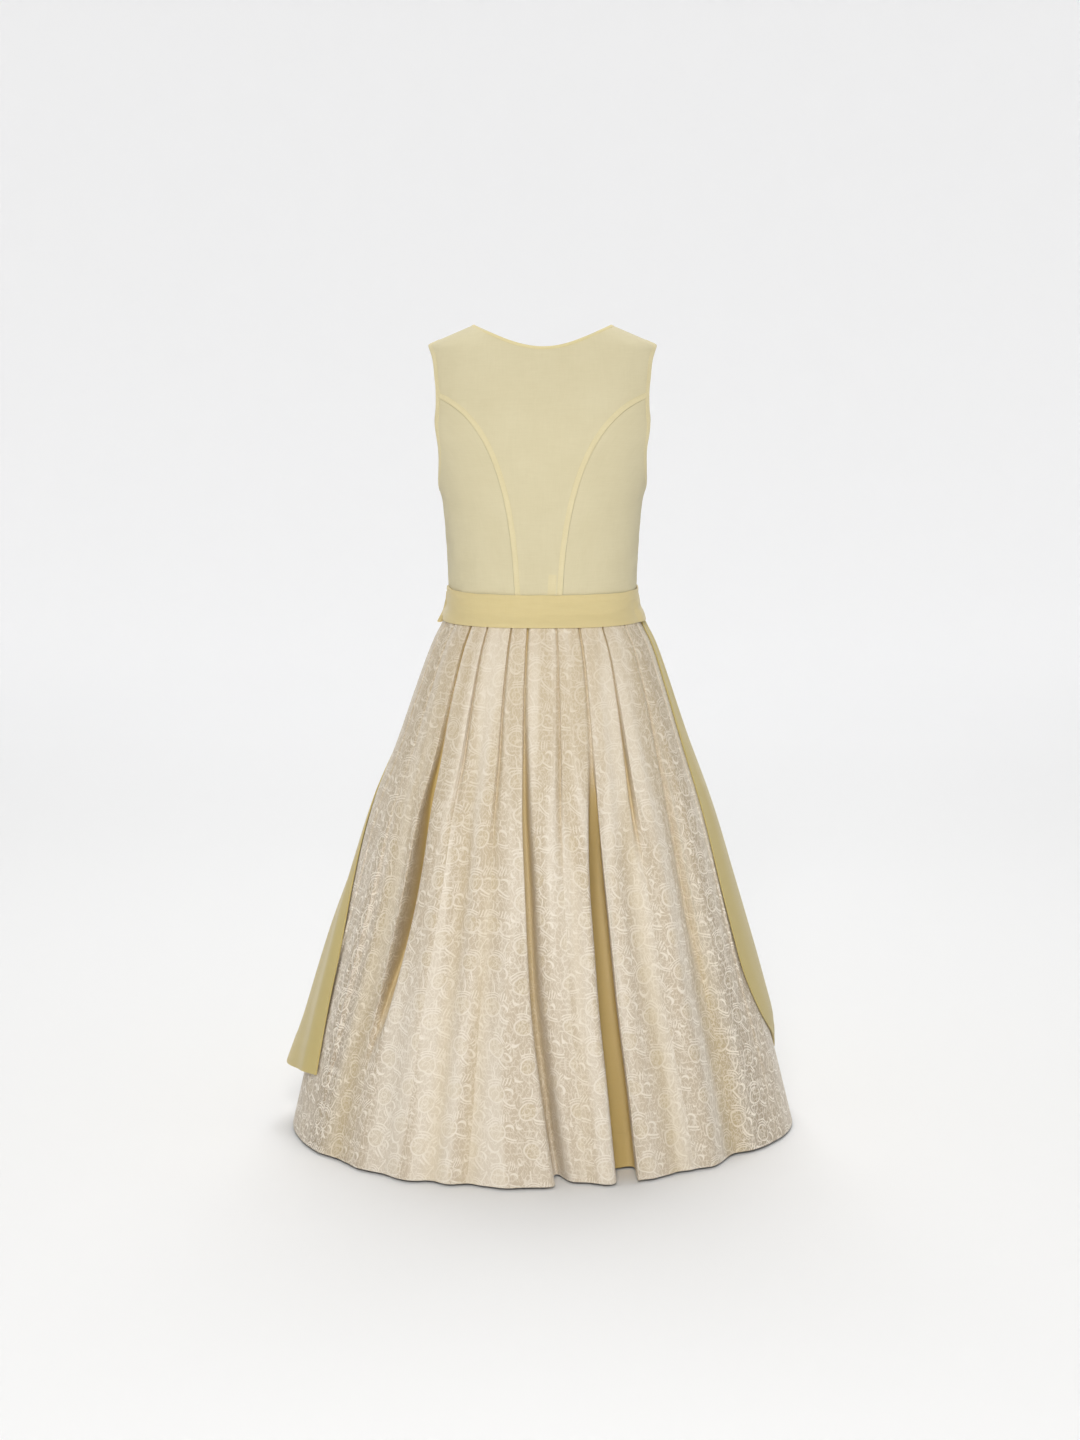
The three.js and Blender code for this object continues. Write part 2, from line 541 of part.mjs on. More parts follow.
function addBand() {
  const heights = [BAND.bottomZ, -325, WAIST_Z, -307, BAND.topZ];
  const layer = (extra) => heights.map((z) => steps(BAND.columns).slice(1).map((t) => {
    const angle = 360 * t;
    const point = bandPoint(angle, z, extra);
    const lift = BAND_PEAK.rise * Math.exp(-(((angle - BAND_PEAK.angle) / BAND_PEAK.width) ** 2));
    point.z += lift * smooth((z - WAIST_Z) / (BAND.topZ - WAIST_Z));
    return point;
  }));
  addPiece('apron_band', wallBetween(layer(0), layer(WALL.band), true), materials.apron);
}

// ---------------------------------------------------------------- the bow
// A strip of ribbon from its middle surface, given as a function of length and width shares.
function ribbon(surface, lengthSteps, widthSteps) {
  const grid = steps(lengthSteps).map((s) => steps(widthSteps).map((w) => surface(s, w)));
  const half = (sign) => grid.map((row, i) => row.map((p, j) => {
    const s = i / lengthSteps;
    const w = j / widthSteps;
    const alongLength = surface(Math.min(1, s + 0.01), w).sub(surface(Math.max(0, s - 0.01), w));
    const alongWidth = surface(s, Math.min(1, w + 0.01)).sub(surface(s, Math.max(0, w - 0.01)));
    return p.clone().addScaledVector(alongLength.cross(alongWidth).normalize(), (sign * WALL.ribbon) / 2);
  }));
  return wallBetween(half(-1), half(1));
}

function addKnot() {
  const base = bandPoint(BOW_ANGLE, KNOT.z, WALL.band);
  const up = bandPoint(BOW_ANGLE, KNOT.z + 10, WALL.band).sub(bandPoint(BOW_ANGLE, KNOT.z - 10, WALL.band));
  const sideways = up.normalize().clone().cross(base.clone().setZ(0)).normalize();
  const out = sideways.clone().cross(up);
  const knot = new THREE.SphereGeometry(1, KNOT.around, KNOT.up);
  const position = knot.getAttribute('position');
  const round = 2 / KNOT.power;
  for (let i = 0; i < position.count; i += 1) {
    const p = new THREE.Vector3().fromBufferAttribute(position, i);
    const flat = Math.hypot(p.x, p.z) || 1;
    const wide = Math.abs(flat) < 1e-6 ? 0 : flat ** round;
    position.setXYZ(
      i,
      KNOT.halfWidth * wide * signedPower(p.x / flat, round),
      KNOT.halfHeight * signedPower(p.y, round),
      KNOT.halfDepth * wide * signedPower(p.z / flat, round),
    );
  }
  const mesh = addPiece('bow_knot', knot, materials.apron);
  mesh.quaternion.setFromRotationMatrix(new THREE.Matrix4().makeBasis(sideways, up, out));
  mesh.position.copy(base).addScaledVector(out, KNOT.halfDepth + KNOT.seat);
}

function addLoops() {
  LOOPS.forEach(({ name, side, start }) => {
    const surface = (s, w) => {
      const out = Math.sin(Math.PI * s);
      const turn = Math.cos(Math.PI * s);
      const half = mix(LOOP.neck, LOOP.halfWidth, out ** 0.6);
      const z = KNOT.z - LOOP.droop * out + half * (2 * w - 1);
      const off = LOOP.middle - 1.5 * turn - (LOOP.belly / 2) * out ** 0.7 * turn;
      return offSkirt(BOW_ANGLE + side * (start + LOOP.reach * out), Math.min(z, WAIST_Z), off).setZ(z);
    };
    addPiece(name, ribbon(surface, LOOP_STEPS.length, LOOP_STEPS.width), materials.apron);
  });
}

function addTails() {
  TAILS.forEach(({ name, side, topAngle, endAngle, endZ, topLift, lift }) => {
    const surface = (s, w) => {
      const z = mix(TAIL.topZ, endZ + 10 * side * (w - 0.5), s);
      const section = skirtSection(z);
      const half = mix(TAIL.topHalf, TAIL.halfWidth, smooth(s * 2.2)) / section.front / DEG;
      const angle = BOW_ANGLE + side * mix(topAngle, endAngle, smooth(s)) + half * (2 * w - 1);
      const wave = TAIL.wave * smooth(s * 3) * (1 + Math.sin(9 * s + 3 * w + side));
      const off = mix(TAIL.topOff + topLift, TAIL.off + lift, smooth(s * 5));
      return offSkirt(angle, z, off + wave);
    };
    addPiece(name, ribbon(surface, TAIL_STEPS.length, TAIL_STEPS.width), materials.apron);
  });
}

addBodice();
addButtons();
addSkirt();
addApron();
addBand();
addKnot();
addLoops();
addTails();

export default dirndl;
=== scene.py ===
"""A girl's dirndl, hollow as it is worn: linen bodice, brocade skirt, and cotton apron with its band and bow.

Sizes are in millimetres and degrees, and meshes in metres. +Z is up, -Y the wearer's front, +X their left.
Angles run round the body from the centre back (0), over the wearer's left (90), to the front (180), and the
functions of the bodice take them in radians."""

import math
from collections import namedtuple

import bpy
import mathutils
import numpy as np
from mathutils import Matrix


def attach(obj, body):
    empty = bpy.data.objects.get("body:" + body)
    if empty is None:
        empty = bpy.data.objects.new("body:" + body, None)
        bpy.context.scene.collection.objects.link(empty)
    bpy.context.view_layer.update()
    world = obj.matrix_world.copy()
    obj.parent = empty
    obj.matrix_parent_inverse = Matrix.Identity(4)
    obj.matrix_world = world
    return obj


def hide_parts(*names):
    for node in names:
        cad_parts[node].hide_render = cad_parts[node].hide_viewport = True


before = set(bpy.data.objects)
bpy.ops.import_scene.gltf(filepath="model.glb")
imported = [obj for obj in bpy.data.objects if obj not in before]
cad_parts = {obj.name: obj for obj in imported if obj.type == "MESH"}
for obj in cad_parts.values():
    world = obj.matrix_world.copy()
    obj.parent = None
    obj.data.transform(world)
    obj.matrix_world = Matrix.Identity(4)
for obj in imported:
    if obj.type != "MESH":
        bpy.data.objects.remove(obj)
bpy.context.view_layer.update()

# ---------------------------------------------------------------- sizes
WAIST_Z, HEM_Z, APRON_HEM_Z, APRON_TOP_Z = -318.0, -930.0, -851.0, -322.0
SEAM_GAP, PANEL_GAP = 0.35, 0.25
WALL = {"bodice": 1.6, "skirt": 1.5, "apron": 1.1, "band": 1.8, "ribbon": 1.2}

TORSO_POWER = 2.4
TORSO = [  # z, half width, back, front
    (0, 76.5, 42, 34), (-22, 128, 54, 48), (-60, 134.5, 74, 66), (-104, 134.8, 85, 82), (-140, 125.3, 88, 90),
    (-181, 116.8, 87, 94), (-197, 112.5, 86, 94), (-243, 108.5, 81, 92), (WAIST_Z, 105.5, 78, 87),
]
NECK_HALF, BACK_DROP, BACK_POWER = 76.5, 21.4, 1.2
FRONT_DROP, FRONT_POWER, FRONT_ROUND = 96, 2.6, 0.75
TIP_Z = -22
ARMHOLE_Z, ARMHOLE_HALF, BACK_REACH, FRONT_REACH = -101.5, 79.5, 48, 42
BACK_SEAM = {"waist": 26.5, "low": (28, -215), "high": (44, -103), "armhole": -78, "drift": 4.5}
FRONT_SEAM = {"waist": 46, "low": (50, -240), "high": (58, -128), "armhole": -96, "drift": 0}
CLOSURE_X = 7
EASE = {"slack": 0.55, "slack_top": -150, "slack_over": 120, "drag": 0.45}
BUTTONS = {"count": 5, "first": -114, "spacing": 42, "radius": 5.4, "height": 3.3}

SKIRT_POWER = (2.4, 2.05)
SKIRT = [  # z, half width, back, front, shift
    (WAIST_Z, 107.5, 82, 90, 0), (-333, 113, 88, 95, 0), (-359, 126, 99, 104, 0), (-405, 143, 114, 118, 0.5),
    (-475, 167, 136, 138, 1), (-546, 193, 160, 160, 2.5), (-643, 220, 187, 184, 2),
    (-738, 246, 213, 208, 2.5), (-835, 272, 239, 232, 0.5), (HEM_Z, 295, 258, 250, -0.5),
]
RIGHT_BACK_DENT = 22
SIDE_SEAM = 85

# angle at the waist, drift by the hem, depth, where it opens and closes, half of the floor, slope, side that
# laps over, how much tan shade is painted down in the fold by the waist and by the hem, and how deep and how
# wide the cloth beside its gentle slope falls in by the hem
Pleat = namedtuple("Pleat", "angle drift depth opens closes floor slope lap tan_top tan_low fall reach")
BACK_PLEATS = [Pleat(*row) for row in (
    (-70, -1, 2, 0.3, 0.7, 0.6, 6, -1, 0.0, 0.0, 0, 0),
    (-53, -1, 8, 0.1, 0.5, 0.8, 5, -1, 0.2, 0.0, 0, 0),
    (-33, -4, 20, 0.08, 0.22, 0.3, 2.4, -1, 1.0, 0.8, 0, 0),
    (-17.6, -2, 50, 0.2, 2, 1.5, 2.4, -1, 0.8, 1.0, 0, 0),
    (-5.5, -4, 8, 0.1, 0.25, 0.3, 2.4, -1, 0.6, 0.6, 0, 0),
    (6, -9, 24, 0.12, 2, 0.5, 2.6, 1, 1.2, 0.0, 24, 13),
    (14.5, 2, 9, 0.1, 0.22, 0.3, 2.2, 1, 1.0, 0.6, 0, 0),
    (29.5, 2, 11, 0.06, 0.16, 0.3, 2.2, 1, 1.0, 0.6, 0, 0),
    (42.8, 6, 36, 0.14, 0.55, 1.2, 3.2, 1, 1.5, 0.1, 0, 0),
    (60, 2, 6, 0.3, 0.7, 0.8, 6, 1, 0.0, 0.0, 0, 0),
    (74, 1, 2, 0.3, 0.7, 0.6, 6, 1, 0.0, 0.0, 0, 0),
)]
FLUTES = [  # angle at the waist, drift by the hem, half width, height by the hem
    (-52, -2, 5, -8), (-38.5, -5, 4, 7), (-29.5, -3, 3, -6), (-23.5, -1, 2, 3), (-9, -1, 2.2, -3),
    (-13, -1, 2, 2), (8.5, 0, 2.8, 4), (15, 1, 2.6, -5), (23.5, 1, 2.6, -6), (19, 1, 2, 2), (31, 0, 3.6, 8),
    (51, 3, 5, -8),
]
FRONT_ANGLES = [97 + 16 * k + 2.4 * math.sin(2.3 * k) for k in range(11)]
FRONT_PLEATS = [
    Pleat(angle, math.sin(1.7 * k), 12, 0.3, 2, 1, 4, 1 if angle < 180 else -1, 0.6, 0.4, 0, 0)
    for k, angle in enumerate(FRONT_ANGLES)
]
SOFT = {"waves": 2.4, "drape": 1.4, "gathers": 0.3, "gathered_to": 0.16}
UNDER_APRON = {"from": 65, "over": 9, "kept": 0.1}
PATTERN_STEP, PATTERN_SWING = 37.0, 11  # how the pattern moves on from one panel between floors to the next
PLEAT = {"top": 4, "closed": 0.4, "lap": 1.0, "open_over": 0.35, "close_over": 0.3, "crown": 3.0}

# share of the length, left edge, right edge, how far the left corner swells away from the skirt
APRON_EDGE = [
    (0, 106, 280, 0), (0.25, 103, 286, 0), (0.45, 93, 287.5, 0), (0.6, 81, 288, 2.5), (0.75, 73, 287, 3),
    (0.88, 71, 281, 5.5), (1, 69, 263, 13),
]
APRON = {
    "clear": 0.9, "edge_clear": 0.35, "hem_clear": 5.5, "gathers": 16, "gather": 0.9, "waves": 7, "wave": 5,
    "hem": 32.5, "hem_lift": 0.45, "side_hem": 7.5, "side_lift": 0.2, "width": 700,
}
APRON_SIDE = {"swell_width": 44, "drop": 9, "edge_width": 9}
BAND = {"top": -297, "bottom": -333, "clear": 0.6, "over": 4, "ramp": 9, "peak": (80, 3.2, 9)}

BOW_ANGLE = 152
KNOT = {"half": (10, 16, 7), "seat": 0.4, "z": -316, "power": 3}
LOOPS = [("bow_loop_left", -1, 6.45), ("bow_loop_right", 1, 4.5)]
LOOP = {"reach": 27, "middle": 16.5, "belly": 19, "neck": 8, "half": 18, "droop": 12}
TAILS = [("bow_tail_left", -1, 1.5, 9, -545, 0, 0), ("bow_tail_right", 1, 1.5, 6, -515, 1.6, 4.5)]
TAIL = {"top": -333.5, "top_half": 8, "half": 18, "top_off": 5.7, "off": 8.2, "wave": 1.6}


# ---------------------------------------------------------------- small helpers
def clamp(t):
    return np.clip(t, 0.0, 1.0)


def smooth(t):
    return clamp(t) ** 2 * (3 - 2 * clamp(t))


def mix(a, b, t):
    return a + (b - a) * t


def from_ends(share):
    """How far a share of 0 to 1 is from the nearer end."""
    return np.minimum(share, 1 - share)


def power(value, p):
    """A signed power: the sign of the value times its size to the power p."""
    return np.sign(value) * np.abs(value) ** p


def along(table, column, at):
    """A monotone cubic through one column of a table, whose first column is the key."""
    rows = np.array(sorted(row[:1] + (row[column],) for row in table), float)
    x, y = rows[:, 0], rows[:, 1]
    h, slope = np.diff(x), np.diff(y) / np.diff(x)
    before, after = slope[:-1], slope[1:]
    same = before * after > 0
    inner = np.where(same, 2 * before * after / np.where(same, before + after, 1), 0)
    tangent = np.concatenate([slope[:1], inner, slope[-1:]])
    at = np.clip(np.asarray(at, float), x[0], x[-1])
    i = np.clip(np.searchsorted(x, at, side="right") - 1, 0, len(x) - 2)
    s = (at - x[i]) / h[i]
    rise = (2 * s**3 - 3 * s**2 + 1) * y[i] + (3 * s**2 - 2 * s**3) * y[i + 1]
    return rise + h[i] * ((s**3 - 2 * s**2 + s) * tangent[i] + (s**3 - s**2) * tangent[i + 1])


def stack(x, y, z):
    return np.stack(np.broadcast_arrays(x, y, z), -1).astype(float)


def unit(v):
    return v / np.maximum(np.linalg.norm(v, axis=-1, keepdims=True), 1e-9)


def on_section(half, back, front, p, angle, z):
    """A superellipse: x is the half width by sin to the power 2/p, y the depth by cos to the power 2/p."""
    c = power(np.cos(angle), 2 / p)
    return stack(half * power(np.sin(angle), 2 / p), c * np.where(c > 0, back, front), z)


def soft_noise(x, y, seed, octaves=3):
    """Smooth noise, a sum of sine waves with seeded directions and phases: about -1 to 1."""
    r = np.random.default_rng(seed)
    total, weight = 0, 0
    for k in range(octaves):
        for _ in range(5):
            a, p = r.uniform(0, 2 * math.pi, 2)
            f = 2**k * r.uniform(0.7, 1.3) * 2 * math.pi
            total = total + np.sin((x * math.cos(a) + y * math.sin(a)) * f + p) / 2**k
        weight += 2.2 / 2**k
    return total / weight


# ---------------------------------------------------------------- meshes
def put(name, data):
    """Adds an object with this data to the scene."""
    thing = bpy.data.objects.new(name, data)
    bpy.context.scene.collection.objects.link(thing)
    return thing


def add_mesh(name, points, faces, uv=None, material=None, smooth_angle=50):
    """A mesh in metres: points in millimetres, faces as rows of 3 or 4 indices, UVs by face corner."""
    mesh = bpy.data.meshes.new(name)
    faces = [np.asarray(f, np.int32) for f in (faces if isinstance(faces, list) else [faces])]
    corners = np.concatenate([f.ravel() for f in faces])
    sizes = np.concatenate([np.full(len(f), f.shape[1]) for f in faces])
    mesh.vertices.add(len(points))
    mesh.vertices.foreach_set("co", (np.asarray(points) * 0.001).astype(np.float32).ravel())
    mesh.loops.add(len(corners))
    mesh.loops.foreach_set("vertex_index", corners)
    mesh.polygons.add(len(sizes))
    mesh.polygons.foreach_set("loop_start", np.concatenate([[0], np.cumsum(sizes)[:-1]]).astype(np.int32))
    if uv is not None:
        layer = mesh.uv_layers.new(name="cloth")
        layer.data.foreach_set("uv", (np.asarray(uv) * 0.001).astype(np.float32).ravel())
    mesh.update(calc_edges=True)
    mesh.validate()
    mesh.shade_smooth()
    if smooth_angle:
        mesh.set_sharp_from_angle(angle=math.radians(smooth_angle))
    if material:
        mesh.materials.append(material)
    return put(name, mesh)


def grid_faces(rows, columns, ring=False):
    """Quads over a grid of points, by rows; a ring's last column joins its first."""
    i, j = np.meshgrid(np.arange(rows - 1), np.arange(columns if ring else columns - 1), indexing="ij")
    i, j = i.ravel(), j.ravel()
    k = (j + 1) % columns
    return np.stack([i * columns + j, i * columns + k, (i + 1) * columns + k, (i + 1) * columns + j], -1)


def shell(name, inner, outer, u, v, material, ring=False, smooth_angle=50, **marks):
    """A closed wall of cloth between two grids of points. u and v are the cloth's flat coordinates: v by
    point, u by point, or as a pair for the left and the right side of each column of quads. marks are kept
    as attributes."""
    rows, columns = outer.shape[:2]
    n = rows * columns
    quads = grid_faces(rows, columns, ring)
    i, j = quads[:, 0] // columns, quads[:, 0] % columns
    k = quads[:, 1] % columns
    left, right = u if isinstance(u, tuple) else (u, np.roll(u, -1, axis=1))
    du = np.stack([left[i, j], right[i, j], right[i + 1, j], left[i + 1, j]], -1)
    dv = np.stack([v[i, j], v[i, k], v[i + 1, k], v[i + 1, j]], -1)
    faces, uvs = [quads + n, quads[:, ::-1]], [np.stack([du, dv], -1), np.stack([du, dv], -1)[:, ::-1]]

    def rim(a, b, ua, ub, va, vb, flip):
        face = np.stack([a, b, b + n, a + n], -1)
        uv = np.stack([np.stack([ua, ub, ub, ua], -1), np.stack([va, vb, vb, va], -1)], -1)
        faces.append(face[:, ::-1] if flip else face)
        uvs.append(uv[:, ::-1] if flip else uv)

    ids = np.arange(n).reshape(rows, columns)
    last = columns if ring else columns - 1
    c = np.arange(last)
    d = (c + 1) % columns
    rim(ids[0, c], ids[0, d], left[0, c], right[0, c], v[0, c], v[0, d], False)
    rim(ids[-1, c], ids[-1, d], left[-1, c], right[-1, c], v[-1, c], v[-1, d], True)
    if not ring:
        r = np.arange(rows - 1)
        rim(ids[r, 0], ids[r + 1, 0], left[r, 0], left[r + 1, 0], v[r, 0], v[r + 1, 0], True)
        rim(ids[r, -1], ids[r + 1, -1], right[r, -2], right[r + 1, -2], v[r, -1], v[r + 1, -1], False)
    points = np.concatenate([inner.reshape(-1, 3), outer.reshape(-1, 3)])
    faces, uvs = np.concatenate(faces), np.concatenate(uvs)
    p = points[faces]
    volume = np.einsum("ij,ij->i", p[:, 0], np.cross(p[:, 1], p[:, 2]) + np.cross(p[:, 2], p[:, 3])).sum()
    if volume < 0:
        faces, uvs = faces[:, ::-1], uvs[:, ::-1]
    thing = add_mesh(name, points, faces, uvs.reshape(-1, 2), material, smooth_angle)
    for key, mark in marks.items():
        values = np.concatenate([mark.ravel(), mark.ravel()]).astype(np.float32)
        thing.data.attributes.new(key, "FLOAT", "POINT").data.foreach_set("value", values)
    return thing


def finish_piece(thing, slot, *nodes):
    """Sets what a piece rides on and hides the solids that it stands for; its material slot is not used."""
    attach(thing, "root")
    if nodes:
        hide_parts(*nodes)
    return thing


def area_of(grid):
    """The area of a grid of points, in square metres."""
    a, b, c, d = grid[:-1, :-1], grid[:-1, 1:], grid[1:, 1:], grid[1:, :-1]
    return 0.5e-6 * np.linalg.norm(np.cross(c - a, d - b), axis=-1).sum()


def declare(thing, grid, width, height):
    """Works out the flat area of a sheet's cut, at most its pattern piece's bounding size, and returns the
    sheet unchanged; the area is not used.
    """
    area = min(area_of(grid), width * height)
    return thing


# ---------------------------------------------------------------- materials
class Field:
    """A value that varies over a surface: a node's output, on which the usual operators make maths nodes."""

    def __init__(self, tree, socket):
        self.tree, self.socket = tree, socket

    def made(self, kind, inputs, output=0, **settings):
        """Adds a node to the tree, sets its properties, and joins or sets its inputs."""
        node = self.tree.nodes.new(kind)
        for key, value in settings.items():
            setattr(node, key, value)
        for key, value in inputs.items():
            if isinstance(value, Field):
                self.tree.links.new(value.socket, node.inputs[key])
            else:
                node.inputs[key].default_value = value
        return Field(self.tree, node.outputs[output])

    def maths(self, operation, *others, clamped=False):
        inputs = dict(enumerate((self, *others)))
        return self.made("ShaderNodeMath", inputs, operation=operation, use_clamp=clamped)

    def __add__(self, other):
        return self.maths("ADD", other)

    def __sub__(self, other):
        return self.maths("SUBTRACT", other)

    def __rsub__(self, other):
        return (self * -1.0) + other

    def __mul__(self, other):
        return self.maths("MULTIPLY", other)

    def __truediv__(self, other):
        return self.maths("DIVIDE", other)

    def __pow__(self, other):
        return self.maths("POWER", other)

    __radd__, __rmul__ = __add__, __mul__

    def length(self, other):
        """The distance from the origin of the point that this and the other value give."""
        return (self * self + other * other) ** 0.5

    def step(self, low, high):
        """Rises smoothly from 0 at low to 1 at high, or falls where low is more than high."""
        inputs = {0: self, 1: min(low, high), 2: max(low, high), 3: float(low > high), 4: float(low <= high)}
        return self.made("ShaderNodeMapRange", inputs, interpolation_type="SMOOTHSTEP")

    def between(self, a, b):
        """A mix of two colours, with this value as the factor."""
        inputs = {0: self, 6: a, 7: b}
        return self.made("ShaderNodeMix", inputs, 2, data_type="RGBA", clamp_factor=True)


def linear(red, green, blue):
    """A colour given in 0 to 255 steps of sRGB, as linear light."""
    return tuple(((c / 255 + 0.055) / 1.055) ** 2.4 for c in (red, green, blue)) + (1.0,)


def new_material(name):
    """A node material: its principled shader, and the cloth's flat coordinates u and v in millimetres."""
    material = bpy.data.materials.new(name)
    material.use_nodes = True
    tree = material.node_tree
    shader = tree.nodes["Principled BSDF"]
    start = Field(tree, tree.nodes.new("ShaderNodeUVMap").outputs[0])
    start.socket.node.uv_map = "cloth"
    split = tree.nodes.new("ShaderNodeSeparateXYZ")
    tree.links.new(start.socket, split.inputs[0])
    u, v = Field(tree, split.outputs[0]) * 1000.0, Field(tree, split.outputs[1]) * 1000.0
    return material, shader, u, v


def on_object(material):
    """The Object coordinates of a material's surface, in metres."""
    return Field(material.node_tree, material.node_tree.nodes.new("ShaderNodeTexCoord").outputs["Object"])


def noise(u, v, across, down, detail=2.0, seed=0.0):
    """Noise over the cloth whose features are about across by down millimetres."""
    place = u.made("ShaderNodeCombineXYZ", {0: u * (1 / across), 1: v * (1 / down), 2: seed})
    inputs = {"Vector": place, "Scale": 1.0, "Detail": detail, "Roughness": 0.55}
    return u.made("ShaderNodeTexNoise", inputs, noise_dimensions="3D")


def marked(field, name):
    """The value of a mark that a mesh keeps at its points."""
    return field.made("ShaderNodeAttribute", {}, "Fac", attribute_name=name)


def join(shader, **fields):
    """Joins fields to the shader's sockets, or sets constants; an underscore in a name stands for a space."""
    for key, value in fields.items():
        socket = shader.inputs[key.replace("_", " ")]
        if isinstance(value, Field):
            value.tree.links.new(value.socket, socket)
        else:
            socket.default_value = value


def bumped(height, distance, strength=1.0):
    """A normal from a height in 0 to 1 that stands for distance millimetres."""
    inputs = {"Strength": strength, "Distance": distance * 0.001, "Height": height}
    return height.made("ShaderNodeBump", inputs)


def woven(name, light, dark, thread, slub, rough, sheen, seed, side=None):
    """Plain-woven cloth: warp and weft threads as crossed waves, with slubs as stretched noise, and, where a
    side colour is given, shade painted in with it where the cloth turns away."""
    material, shader, u, v = new_material(name)
    weft = (v * (2 * math.pi / thread)).maths("SINE")
    warp = (u * (2 * math.pi / thread)).maths("SINE")
    cross = noise(u, v, 14, 0.9, 2, seed)
    down = noise(u, v, 0.9, 14, 2, seed + 3)
    cloud = noise(u, v, 38, 46, 3, seed + 6)
    tone = (cross * 0.42 + down * 0.34 + cloud * 0.5 - 0.13).maths("ADD", (weft + warp) * 0.03, clamped=True)
    height = (cross + down) * (0.5 * slub) + (weft * warp) * 0.22 + 0.5
    colour = tone.between(dark, light)
    # painted shade where the cloth turns away
    if side:
        colour = (marked(u, "aslant") * 0.8).between(colour, side)
    join(shader, Base_Color=colour, Roughness=(cross * 0.2 + rough), Normal=bumped(height, 0.22, 0.5))
    join(shader, Sheen_Weight=sheen, Sheen_Roughness=0.5, Specular_IOR_Level=0.25)
    return material


BROCADE = {
    "ground_dark": linear(190, 174, 150),
    "ground": linear(205, 190, 168),
    "pool": linear(201, 184, 151),
    "figure": linear(240, 232, 218),
    # painted shade near the waist
    "high": linear(198, 181, 151),
    # painted shade where the cloth turns away to the sides
    "side": linear(157, 142, 121),
    # tan shade painted down in folds and hollows
    "fold": linear(206, 180, 112),
}
HEM_LINE = 600.0  # how far down the skirt's cloth its hem is sewn


